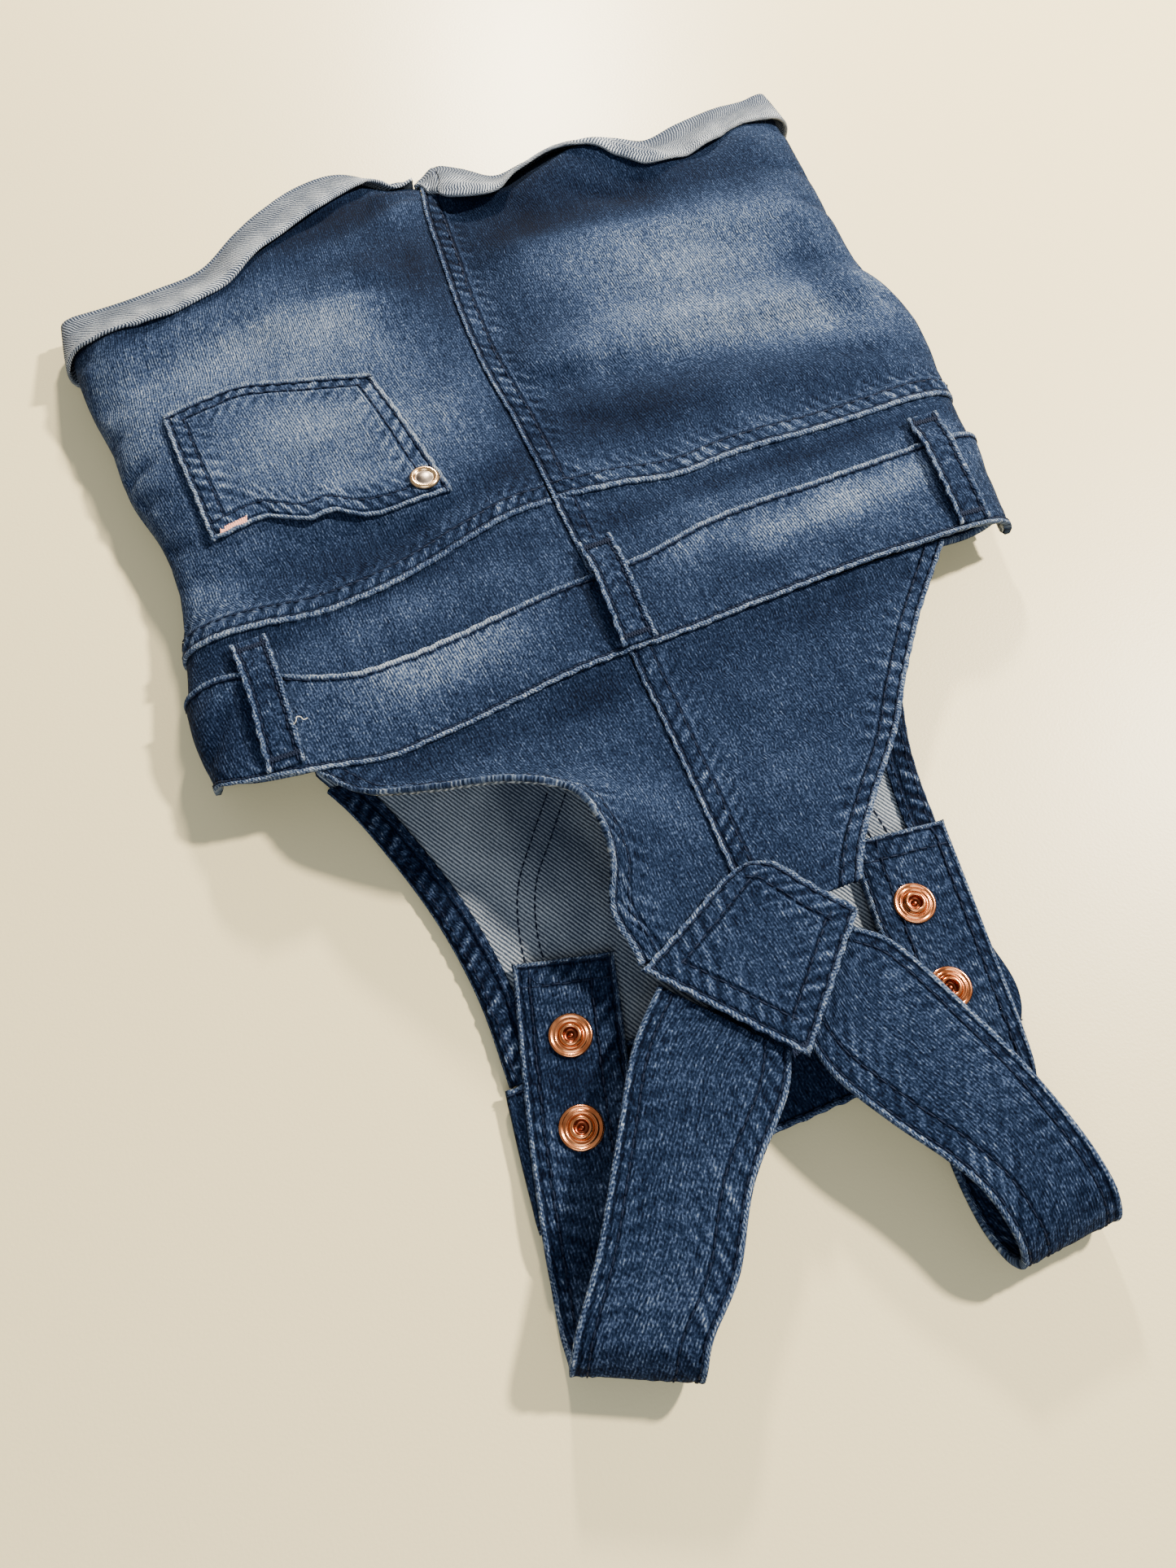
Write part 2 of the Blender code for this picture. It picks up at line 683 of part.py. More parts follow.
def make_cuff(side, twill):
    """Turned-up cuff: it folds outwards at the hem, and its free rim stands off the leg."""
    table = CUFF_BACK[side]
    around = ROUND_BACK[:-1] + ROUND_FRONT[:-1]
    rings = []
    for t in around:
        x = leg_point(side, t, table[0].fold_y)[0]
        fold_y = hem_y(side, x, t > 1) + CUFF_TURN
        x = leg_point(side, t, fold_y)[0]
        fold_y = hem_y(side, x, t > 1) + CUFF_TURN
        inside = np.clip(x, table[0].x, table[-1].x)
        inseam = 1 - ease(min(t, 2 - t), 0.0, INNER_SHARE + 0.1)
        front = ease(t, 1.0, 1.2)
        width_back = fold_y - float(read(table, "x", "rim_y", inside))
        width = blend(width_back, CUFF_WIDTH_FRONT, front)
        width = blend(width, CUFF_WIDTH_INSEAM, inseam)
        rim_y = fold_y - width
        stand = float(read(table, "x", "rim_z", inside)) - leg_point(side, min(t, 1.0), rim_y)[2]
        stand = blend(max(stand - DENIM, CUFF_GAP), 2.0, ease(t, 0.80, 0.97))
        stand = blend(stand, GAP, front)
        stand = blend(stand, GAP, inseam * ease(t, 0.0, 0.1))
        fold_gap = blend(CUFF_GAP, GAP, ease(t, 1.0, 1.15))
        end_y = fold_y - CUFF_TURN + 1.5 * GAP
        profile = [
            (fold_y - 0.1, -DENIM),
            (fold_y, fold_gap),
            (fold_y - 0.7, fold_gap + DENIM),
        ]
        shares = (0.25, 0.5, 0.75, 1.0)
        along = [(blend(fold_y - 0.7, rim_y, s), blend(fold_gap, stand, bulge(s))) for s in shares]
        profile += [(y, rise + DENIM) for y, rise in along]
        profile += [(y, rise) for y, rise in reversed(along)]
        profile += [(end_y, fold_gap), (end_y, -DENIM)]
        rings.append([leg_point(side, t, y, rise or 1e-6) for y, rise in profile])
    points = np.array(rings).reshape(-1, 3)
    points[:, 2] = np.maximum(points[:, 2], 0.0)
    ring_count = len(rings)
    profile_count = len(rings[0])
    faces = []
    for i in range(ring_count):
        for j in range(profile_count):
            a = i * profile_count + j
            b = i * profile_count + (j + 1) % profile_count
            nxt = (i + 1) % ring_count * profile_count
            c = nxt + (j + 1) % profile_count
            d = nxt + j
            faces.append([d, c, b, a] if side == RIGHT else [a, b, c, d])
    return solid("cuff_" + SIDE_NAMES[side], points, faces, twill)


def bulge(share):
    """The cuff leaves its fold steeply and flattens towards its rim."""
    return share ** 0.8


# ---------------------------------------------------------------- waistband and loops
def make_waistband(name, table, front, denim):
    """One half of the waistband, from side seam to side seam."""
    half = front_round()[:-1] + [2] if front else back_round()[:0:-1] + [0]
    lift = 0.0 if front else DENIM
    across = [(RIGHT, t) for t in half] + [(LEFT, t) for t in half[-2::-1]]

    def low(x):
        return seam_line(table, "bib_edge", x)

    def high(x):
        return seam_line(table, "seat_edge", x)

    grid = []
    for share in (0, 0.25, 0.5, 0.75, 1):
        row = []
        for side, t in across:
            y = panel_point(side, t, low, high, share)[1]
            row.append(leg_point(side, t, y, lift))
        grid.append(row)
    return wall(name, grid, BAND, denim, face_up=not front)


def make_belt_loop(loop, denim):
    """Belt loop: a strip over the waistband, tacked down at both ends."""
    grid = []
    for share, rise in LOOP_RISES:
        x = blend(loop.top_x, loop.end_x, share)
        y = blend(loop.top_y, loop.end_y, share)
        row = []
        for part in (-0.5, -0.17, 0.17, 0.5):
            px = x + part * LOOP_WIDTH
            on_seam = SEAM_RAISE if loop.name == "belt_loop_centre" else 0.0
            row.append([px, y, float(cloth_height(px, y)) + on_seam + rise + LOOP])
        grid.append(row)
    return wall(loop.name, grid, LOOP, denim)


# ---------------------------------------------------------------- back bib, patch, straps
def bib_back_height(side, share, x, y):
    """Height of the back bib; towards the armhole it goes to the edge's own height."""
    edge_z = float(read(BACK_ARMHOLE[side], "y", "z", y))
    middle = float(back_height(x, y) + seam_raise(x, y))
    return blend(middle, edge_z, share ** BIB_CURL[side])


def make_bib_back(side, denim):
    """One half of the back bib, from the waistband to under the patch."""
    grid = []
    for row_share in np.linspace(0, 1, 13):
        row = []
        for share in BIB_SHARES:
            y = -60.0
            for _ in range(8):
                inner = centre_x(y) + side * GAP / 2
                x = blend(inner, float(read(BACK_ARMHOLE[side], "y", "x", y)), share)
                y = blend(seam_line(WAIST_BACK, "bib_edge", x) - GAP, BIB_BACK_END, row_share)
            row.append([float(x), y, bib_back_height(side, share, x, y)])
        grid.append(row)
    return wall("bib_back_" + SIDE_NAMES[side], grid, DENIM, denim)


def patch_bed(x, y):
    """What the patch lies on: the end of the back bib and the starts of the straps."""
    return float(read(BACK_HEIGHT, "y", "z", y)) + PATCH_BED


def make_strap(side, denim):
    """Shoulder strap: over the top from the patch, round its fold and back to the bib."""
    rows = STRAP_PATH[side]
    stations = np.arange(len(rows), dtype=float)
    fine = np.linspace(0, len(rows) - 1, 2 * len(rows) - 1)
    path = {name: smooth(fine, stations, column(rows, name)) for name in Strap._fields}
    grid = []
    for k in range(len(fine)):
        a = np.array([path["xa"][k], path["ya"][k], path["z"][k]])
        b = np.array([path["xb"][k], path["yb"][k], path["z"][k]])
        grid.append([blend(a, b, share) for share in (0, 0.25, 0.5, 0.75, 1)])
    return wall("strap_" + SIDE_NAMES[side], grid, STRAP, denim)


# ---------------------------------------------------------------- front bib
def make_bib_front(twill):
    """Front bib, inside up; only its twill reverse shows."""
    grid = []
    bib_end = BIB_FRONT[0].y
    for row_share in np.linspace(0, 1, 9):
        row = []
        for share in np.linspace(0, 1, 9):
            y = -60.0
            for _ in range(4):
                right = float(read(BIB_FRONT, "y", "right", y))
                left = float(read(BIB_FRONT, "y", "left", y))
                x = blend(right, left, share)
                y = blend(seam_line(WAIST_FRONT, "bib_edge", x) - 2 * GAP, bib_end, row_share)
            row.append([x, y, BIB_LIFT])
        grid.append(row)
    return wall("bib_front", grid, DENIM, twill, face_up=False)


def make_bib_hem(side, denim):
    """Hem turned to the inside along one armhole of the bib."""
    name = SIDE_NAMES[side]
    top = BIB_LIFT + DENIM + GAP + HEM
    grid = []
    for y in np.linspace(-20, -120.5, 9):
        edge = float(read(BIB_FRONT, "y", name, y))
        grid.append([[edge - side * part * BIB_HEM_WIDTH, y, top] for part in (0.0, 0.5, 1.0)])
    return wall("bib_hem_" + name, grid, HEM, denim)


def make_bib_band(denim):
    """Folded band along the top of the bib, which carries the snaps."""
    grid = []
    thickness = DENIM + GAP + HEM
    top = BIB_LIFT + thickness
    for y in BIB_BAND_ROWS:
        right = float(read(BIB_BAND, "y", "right", y))
        left = float(read(BIB_BAND, "y", "left", y))
        grid.append([[x, y, top] for x in np.linspace(right, left, 7)])
    return wall("bib_top_band", grid, thickness, denim)


# ---------------------------------------------------------------- metal pieces
def make_snaps(copper):
    """Ringed snap caps with a hollow tube in the middle, on the strap ends."""
    r = SNAP_RADIUS
    profile = [(0, 0), (r - 0.5, 0), (r, 0.5), (r - 0.2, 1.0), (r - 1.0, 1.2), (r - 1.5, 0.9),
               (r - 2.2, 1.5), (r - 2.8, 1.2), (r - 3.4, 1.9), (r - 3.9, 1.8), (r - 4.2, 0.6), (0, 0.5)]
    return [turned_piece(spot.name, spot, STRAP_ON_BIB + STRAP + GAP, profile, copper) for spot in SNAPS]


def pocket_top(x, y):
    """Top face of the back pocket, which stands off a little along its opening."""
    opening = 1 - ease(y, 56, 74)
    return float(cloth_height(x, y)) + GAP + DENIM + 0.9 * opening


def make_rivet(copper):
    r = RIVET_RADIUS
    profile = [(0, 0), (r - 0.6, 0), (r, 0.5), (r - 0.3, 1.2), (r - 1.2, 1.5), (r - 1.7, 1.1), (0, 1.4)]
    reach = 3.0
    x, y = RIVET.x, RIVET.y
    slope_x = (pocket_top(x + reach, y) - pocket_top(x - reach, y)) / (2 * reach)
    slope_y = (pocket_top(x, y + reach) - pocket_top(x, y - reach)) / (2 * reach)
    seat = max(
        pocket_top(x + r * math.cos(a), y + r * math.sin(a)) - r * (slope_x * math.cos(a) + slope_y * math.sin(a))
        for a in np.linspace(0, 2 * math.pi, 16)
    )
    seat = max(seat, pocket_top(x, y))
    return turned_piece(RIVET.name, RIVET, seat + GAP, profile, copper, tilt=(slope_x, slope_y))


def centre_on_origin(objects):
    """Puts the middle of the garment over the origin, with the table at Z = 0."""
    corners = [vertex.co for made in objects for vertex in made.data.vertices]
    middle_x = (min(c.x for c in corners) + max(c.x for c in corners)) / 2
    middle_y = (min(c.y for c in corners) + max(c.y for c in corners)) / 2
    table_z = min(c.z for c in corners)
    for made in objects:
        for vertex in made.data.vertices:
            vertex.co.x -= middle_x
            vertex.co.y -= middle_y
            vertex.co.z -= table_z
        made.data.update()
    print("moved by", -middle_x, -middle_y, -table_z)


def make_dungarees():
    denim = material("denim", (0.075, 0.13, 0.22), 0.85)
    worn_denim = material("denim_worn", (0.17, 0.25, 0.36), 0.88)
    twill = material("denim_reverse", (0.32, 0.33, 0.34), 0.9)
    copper = material("copper", (0.62, 0.27, 0.13), 0.3, 1.0)
    made = []
    for side in (RIGHT, LEFT):
        made.append(make_back(side, denim))
        made.append(make_yoke(side, denim))
        made.append(make_front(side, denim))
        made.append(make_cuff(side, twill))
        made.append(make_bib_back(side, denim))
        made.append(make_strap(side, denim))
        made.append(make_bib_hem(side, denim))
    made.append(make_waistband("waistband_back", WAIST_BACK, False, denim))
    made.append(make_waistband("waistband_front", WAIST_FRONT, True, denim))
    made += [make_belt_loop(loop, worn_denim) for loop in BELT_LOOPS]
    made.append(make_bib_front(twill))
    made.append(make_bib_band(denim))
    made.append(laid_piece("bib_pocket", BIB_POCKET_CORNERS, lambda x, y: DENIM, DENIM, denim))
    made.append(laid_piece("back_patch", PATCH_CORNERS, lambda x, y: patch_bed(x, y) + PATCH, PATCH, denim))
    made.append(laid_piece("back_pocket", POCKET_CORNERS, pocket_top, DENIM, worn_denim))
    made.append(make_rivet(copper))
    made += make_snaps(copper)
    centre_on_origin(made)


for old in list(bpy.data.objects):
    bpy.data.objects.remove(old, do_unlink=True)
make_dungarees()
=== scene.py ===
import math
from collections import namedtuple

import bpy
import numpy as np
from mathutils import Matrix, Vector
from mathutils.bvhtree import BVHTree


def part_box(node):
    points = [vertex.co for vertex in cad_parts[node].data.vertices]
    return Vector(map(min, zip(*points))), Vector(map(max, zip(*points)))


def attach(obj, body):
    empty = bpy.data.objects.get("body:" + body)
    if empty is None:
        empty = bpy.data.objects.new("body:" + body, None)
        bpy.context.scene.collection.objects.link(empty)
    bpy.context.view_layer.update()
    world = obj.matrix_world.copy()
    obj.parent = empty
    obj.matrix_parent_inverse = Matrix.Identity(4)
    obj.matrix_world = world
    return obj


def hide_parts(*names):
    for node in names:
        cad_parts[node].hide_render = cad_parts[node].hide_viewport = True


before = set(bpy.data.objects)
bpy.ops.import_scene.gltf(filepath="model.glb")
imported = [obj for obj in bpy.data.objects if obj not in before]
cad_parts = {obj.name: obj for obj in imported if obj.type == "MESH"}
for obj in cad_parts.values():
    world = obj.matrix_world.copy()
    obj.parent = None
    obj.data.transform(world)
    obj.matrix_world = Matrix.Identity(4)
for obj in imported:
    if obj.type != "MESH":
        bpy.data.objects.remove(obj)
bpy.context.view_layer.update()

# ================================================================ seat and legs, back
# Two panels of stretch denim, joined down the middle by a felled seam that is turned to the
# left. They are washed pale over the seat, and lie as they fell, over the front of the shorts.
# All tables are in millimetres, from the centre-back seam at the waistband, legs at +Y.
MM = 0.001
RIGHT = -1              # the wearer's right, at -X
LEFT = 1
SIDE_NAMES = {RIGHT: "right", LEFT: "left"}

RIVET_PLACE = (-39.8, 61.5)     # the pocket's rivet, from which the frame's place is worked out
rivet_low, rivet_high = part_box("pocket_rivet")
FRAME_SHIFT = np.array([
    (rivet_low.x + rivet_high.x) / 2 / MM - RIVET_PLACE[0],
    (rivet_low.y + rivet_high.y) / 2 / MM - RIVET_PLACE[1],
    0.0,
])

DENIM = 1.2
SIDE_Z = 8.0            # height of the side seams above the table
SEAM_HALF = 0.1
SEAM_RAISE = 0.8
FELL_WIDTH = 8.0        # width of a felled seam with its two rows of stitches
FIRST_ROW = 2.1         # from an edge to its nearest row of stitches
SECOND_ROW = FELL_WIDTH - 0.9
ROLL_BACK = 22.0
ROLL_FRONT = 13.0
LEG_ROLL = 11.0
CROTCH_START = 199.0
CROTCH_END = 208.0
CROTCH_PART = {RIGHT: 5.5, LEFT: 2.0}
CUFF_TURN = 1.5
INNER_SHARE = 0.14
SIDE_SHARE = 0.20

Outline = namedtuple("Outline", "y right left")
OUTLINE = [
    Outline(-20, -127, 126),
    Outline(0, -130, 130),
    Outline(16, -130, 133.5),
    Outline(27, -128, 135),
    Outline(38, -126, 136.5),
    Outline(57, -123, 141),
    Outline(78, -124, 142.5),
    Outline(100, -129, 137),
    Outline(121, -130, 137.5),
    Outline(142, -133, 140),
    Outline(162, -133.5, 142),
    Outline(184, -132.5, 144.5),
    Outline(206, -132.5, 146.5),
]

CentreSeam = namedtuple("CentreSeam", "y x")
CENTRE_SEAM = [
    CentreSeam(-110, -7),
    CentreSeam(-60, -5),
    CentreSeam(8, -5.5),
    CentreSeam(40, -5.5),
    CentreSeam(75, -4.8),
    CentreSeam(102, -6.4),
    CentreSeam(128, -5.6),
    CentreSeam(155, -2.8),
    CentreSeam(180, 0.2),
    CentreSeam(192, 2.8),
    CentreSeam(206, 4.5),
]

YokeSeam = namedtuple("YokeSeam", "x y")
YOKE_SEAM = [
    YokeSeam(-128, 32),
    YokeSeam(-102, 30),
    YokeSeam(-84, 27.5),
    YokeSeam(-60, 29.5),
    YokeSeam(-38, 35),
    YokeSeam(-20, 39.5),
    YokeSeam(-4, 40),
    YokeSeam(16, 38),
    YokeSeam(34, 34.5),
    YokeSeam(55, 35.5),
    YokeSeam(85, 34),
    YokeSeam(138, 34),
]

Cuff = namedtuple("Cuff", "x fold_y fold_z rim_y rim_z")
CUFF_BACK = {           # fold and free rim of each turned-up cuff
    RIGHT: [
        Cuff(-138, 184, 13, 162, 17),
        Cuff(-125, 183.5, 13, 158, 24),
        Cuff(-100, 184, 14, 160, 25),
        Cuff(-80, 188.5, 14, 164.5, 26),
        Cuff(-66, 198, 16, 171, 27),
        Cuff(-52, 206, 17, 180, 26),
        Cuff(-38, 213, 16, 190, 24),
        Cuff(-22, 214.5, 15, 200, 20.5),
        Cuff(-6, 208.5, 10, 202.5, 14),
    ],
    LEFT: [
        Cuff(5, 203, 12, 192, 16),
        Cuff(13, 206.5, 14, 184, 21),
        Cuff(21, 202, 14, 176, 24),
        Cuff(30, 194, 14, 172, 26),
        Cuff(43, 197, 13, 175, 28),
        Cuff(60, 202, 13, 180, 29),
        Cuff(76, 199, 13, 176, 28),
        Cuff(89, 189, 15, 165, 26),
        Cuff(104, 190, 17, 164, 24),
        Cuff(122, 194, 16, 168, 24),
        Cuff(138, 198, 13, 177, 19),
        Cuff(147, 201, 13, 180, 16),
    ],
}
CUFF_WIDTH_FRONT = 25.0     # from the fold to the rim, on the table

Height = namedtuple("Height", "y z")
BACK_HEIGHT = [
    Height(-150, 19),
    Height(-120, 18),
    Height(-90, 17),
    Height(-55, 17),
    Height(-20, 19.5),
    Height(40, 20),
    Height(85, 20),
    Height(125, 21),
    Height(160, 20),
    Height(206, 18),
]

Fold = namedtuple("Fold", "x0 y0 x1 y1 reach rise")
FOLDS = [               # the large folds, as the solids have them
    Fold(10, 98, 132, 87, 9, 2.2),
    Fold(14, 83, 130, 74, 8, -1.2),
    Fold(28, 140, 118, 128, 20, 3.0),
    Fold(-126, 150, -30, 157, 9, 3.0),
    Fold(-124, 135, -74, 139, 8, -2.0),
    Fold(-92, 96, -50, 90, 26, 1.8),
    Fold(-4, 66, 2, 178, 11, -2.5),
    Fold(-112, 52, -60, 48, 9, -1.6),
    Fold(-92, -14, -50, -12, 12, -1.6),
    Fold(40, 60, 118, 56, 10, 1.6),
    Fold(8, -60, 60, -34, 14, -1.8),
    Fold(-40, -34, 40, -30, 9, -1.2),
]

Crease = namedtuple("Crease", "x0 y0 x1 y1 leg_reach waist_reach rise")
SEAT_CREASES = [        # finer creases, with their reach on either side
    Crease(6, 93, 62, 88, 7, 3.5, 1.3),
    Crease(58, 96, 134, 80, 9, 4.5, 1.1),
    Crease(22, 80, 120, 72, 4, 6, -0.3),
    Crease(12, 147, 66, 139, 3.5, 9, 1.3),
    Crease(70, 136, 128, 126, 8, 8, 1.2),
    Crease(60, 128, 110, 118, 5, 7, -0.8),
    Crease(96, 66, 138, 50, 4, 5, -1.6),
    Crease(110, 104, 140, 98, 3.5, 4, -1.6),
    Crease(118, 152, 142, 148, 3, 4, -1.4),
    Crease(124, 130, 141, 126, 3, 3, -1.2),
    Crease(126, 84, 142, 74, 3, 3, -1.3),
    Crease(44, 168, 74, 152, 4, 4, -1.3),
    Crease(10, 182, 34, 160, 6, 5, -1.3),
    Crease(-100, 139, -58, 147, 3, 9, 1.7),
    Crease(-62, 147, -8, 140, 3, 9, 1.5),
    Crease(-84, 128, -40, 130, 6, 5, -0.7),
    Crease(-64, 168, -26, 174, 3.5, 7, 1.6),
    Crease(-32, 173, 1, 188, 3, 7, 2.2),
    Crease(-52, 184, -14, 192, 6, 5, -1.2),
    Crease(-46, 162, -12, 157, 5, 5, -1.3),
    Crease(-120, 150, -70, 158, 3, 5, 0.8),
    Crease(-134, 101, -117, 104, 2.5, 3, -2.0),
    Crease(-133, 94, -114, 88, 2.5, 3, -2.0),
    Crease(-135, 138, -121, 130, 3, 3, -1.5),
    Crease(-136, 122, -123, 118, 2.5, 2.5, -1.0),
    Crease(-127, 72, -110, 66, 3, 3, -1.7),
    Crease(-126, 58, -112, 54, 2.5, 2.5, -1.3),
    Crease(-62, 48, -8, 68, 7, 3.5, 1.9),
    Crease(-60, 42, -20, 54, 3, 3, -0.8),
    Crease(-28, 74, -10, 108, 6, 6, 0.9),
    Crease(-118, 54, -84, 46, 5, 4, -0.8),
    Crease(12, 70, 34, 58, 4, 4, -1.2),
    Crease(40, 64, 90, 60, 6, 4, 0.7),
]

# a soft oval of colour, paler where its amount is positive and darker where negative: wash fades, and
# in some tables painted shade
Fade = namedtuple("Fade", "x y across along turn amount")
SEAT_FADES_AND_SHADE = [          # pale and dark areas of the wash, and painted shade below the cuffs' rims, with their half widths
    Fade(-82, 136, 40, 18, 4, 0.52),
    Fade(-46, 134, 20, 14, -6, 0.40),
    Fade(-68, 108, 30, 8, 0, 0.20),
    Fade(-32, 88, 13, 22, 6, 0.44),
    Fade(-64, 118, 44, 12, 0, 0.24),
    Fade(-124, 110, 14, 42, 0, 0.46),
    Fade(-112, 48, 14, 12, 0, 0.42),
    Fade(-98, 84, 10, 22, 0, 0.22),
    Fade(-64, 46, 42, 9, -2, -0.34),
    Fade(-26, 188, 30, 14, 24, -0.62),
    Fade(-62, 172, 34, 7, 22, -0.30),
    # painted shade in the gap under the right cuff's rim
    Fade(-94, 167, 24, 5, 4, -0.80),
    # painted shade under the right cuff's corner
    Fade(-114, 155, 8, 5, 0, -0.45),
    Fade(-16, 148, 16, 22, 10, -0.42),
    Fade(-10, 118, 9, 26, 0, -0.20),
    Fade(-12, 58, 13, 9, 10, -0.55),
    Fade(-50, 38, 34, 6, -4, -0.26),
    Fade(60, 128, 38, 14, -6, 0.34),
    Fade(98, 124, 26, 16, -10, 0.24),
    Fade(72, 110, 44, 17, -6, 0.42),
    Fade(112, 104, 12, 24, 0, -0.16),
    Fade(16, 114, 17, 22, 0, -0.24),
    Fade(68, 95, 40, 9, -8, 0.36),
    Fade(74, 83, 36, 7, -8, 0.46),
    Fade(105, 78, 20, 9, -14, 0.38),
    Fade(132, 82, 8, 12, 0, 0.46),
    # darker band under the left cuff: partly the wash, partly painted shade of the cuff's overhang
    Fade(62, 156, 78, 12, 0, -0.56),
    Fade(28, 152, 16, 9, 0, -0.40),
    Fade(26, 176, 26, 13, 0, -0.50),
    Fade(78, 176, 40, 8, 0, -0.22),
    Fade(30, 66, 34, 12, -8, -0.56),
    Fade(84, 58, 44, 9, -6, -0.20),
    Fade(116, 64, 18, 7, -8, 0.16),
    Fade(92, 46, 50, 5, 0, -0.12),
    Fade(133, 146, 10, 16, 0, 0.16),
]


def smooth(at, known_at, known):
    """Value at `at` on a smooth curve through a table's points."""
    at = np.asarray(at, float)
    known_at = np.asarray(known_at, float)
    known = np.asarray(known, float)
    slopes = np.gradient(known, known_at)
    i = np.clip(np.searchsorted(known_at, at) - 1, 0, len(known_at) - 2)
    span = known_at[i + 1] - known_at[i]
    s = np.clip((at - known_at[i]) / span, 0.0, 1.0)
    start = (2 * s ** 3 - 3 * s ** 2 + 1) * known[i] + (s ** 3 - 2 * s ** 2 + s) * span * slopes[i]
    end = (3 * s ** 2 - 2 * s ** 3) * known[i + 1] + (s ** 3 - s ** 2) * span * slopes[i + 1]
    return start + end


def read(rows, by, name, at):
    return smooth(at, [getattr(row, by) for row in rows], [getattr(row, name) for row in rows])


def ease(value, low, high):
    s = np.clip((value - low) / (high - low), 0.0, 1.0)
    return s * s * (3 - 2 * s)


def blend(a, b, share):
    return a + (b - a) * share


def side_x(side, y):
    return read(OUTLINE, "y", SIDE_NAMES[side], y)


def centre_x(y, side=0):
    parted = ease(y, CROTCH_START, CROTCH_END) * CROTCH_PART.get(side, 0)
    return read(CENTRE_SEAM, "y", "x", y) + side * parted


def seam_line(rows, name, x):
    return read(rows, "x", name, np.clip(x, rows[0].x, rows[-1].x))


def place_on(line, x, y):
    """How far along a table's straight line a point is, its distance, and the line's length."""
    along = np.array([line.x1 - line.x0, line.y1 - line.y0], float)
    length = np.hypot(*along)
    along /= length
    s = np.clip((x - line.x0) * along[0] + (y - line.y0) * along[1], 0, length)
    off_x = x - line.x0 - s * along[0]
    off_y = y - line.y0 - s * along[1]
    return s / length, off_x, off_y, length


def fold_height(x, y):
    total = 0.0
    for fold in FOLDS:
        _, off_x, off_y, _ = place_on(fold, x, y)
        total = total + fold.rise * np.exp(-(np.hypot(off_x, off_y) / fold.reach) ** 2)
    return total


def crease_height(creases, x, y):
    """Soft uneven ridges and troughs, each steeper on one side than on the other."""
    total = np.zeros(np.broadcast(x, y).shape)
    for k, crease in enumerate(creases):
        share, off_x, off_y, length = place_on(crease, x, y)
        reach = np.where(off_y > 0, crease.leg_reach, crease.waist_reach)
        uneven = 0.75 + 0.25 * np.sin(share * length / 7 + 2.1 * k)
        swell = np.sin(np.clip(share * 0.9 + 0.05, 0, 1) * math.pi) ** 0.6 * uneven
        total += crease.rise * swell * np.exp(-(np.hypot(off_x, off_y) / reach) ** 2)
    return total


def fade_and_shade_sum(fades_and_shade, x, y):
    total = np.zeros(np.broadcast(x, y).shape)
    for tone in fades_and_shade:
        turn = math.radians(tone.turn)
        along_x = (x - tone.x) * math.cos(turn) + (y - tone.y) * math.sin(turn)
        along_y = (y - tone.y) * math.cos(turn) - (x - tone.x) * math.sin(turn)
        total += tone.amount * np.exp(-(along_x / tone.across) ** 2 - (along_y / tone.along) ** 2)
    return total


def back_height(x, y):
    """Outer face of the back above the table; it swells up to the rims of the cuffs."""
    flat_z = read(BACK_HEIGHT, "y", "z", y) + fold_height(x, y)
    toward_left = ease(x, -14, 14)
    z = 0.0
    for side, share in ((RIGHT, 1 - toward_left), (LEFT, toward_left)):
        cuff = CUFF_BACK[side]
        rim_y = seam_line(cuff, "rim_y", x)
        end_y = seam_line(cuff, "fold_y", x) - 3
        rim_z = seam_line(cuff, "rim_z", x) - DENIM - 0.9
        reach = 9 + 15 * ease(rim_z - flat_z, -4, 0)
        swollen = blend(flat_z, rim_z, ease(y, rim_y - reach, rim_y - 1))
        hem_z = seam_line(cuff, "fold_z", x) - CUFF_TURN
        past_rim = np.clip((y - rim_y) / (end_y - rim_y), 0, 1)
        z = z + share * blend(swollen, hem_z, past_rim)
    return z


def seam_raise(x, y, step=0.05):
    away = x - centre_x(y)
    return SEAM_RAISE * ease(away, -step, step) * (1 - ease(away, FELL_WIDTH - 1, FELL_WIDTH))


def roll_width(side, y):
    drop = back_height(side_x(side, y) - side * ROLL_BACK / 2, y) - SIDE_Z
    return np.clip(drop * 1.8, 4.0, ROLL_BACK)


def hem_y(side, x, front=False):
    cuff = CUFF_BACK[side]
    inside = np.clip(x, cuff[0].x, cuff[-1].x)
    straight = np.interp(inside, [cuff[0].x, cuff[-1].x], [cuff[0].fold_y, cuff[-1].fold_y])
    curved = seam_line(cuff, "fold_y", x)
    return np.where(front, straight, curved) - CUFF_TURN


def front_height(side, x, y):
    rim_y = hem_y(side, x, True) - CUFF_WIDTH_FRONT
    return ease(y, rim_y - 14, rim_y - 3) * (DENIM + 0.3)


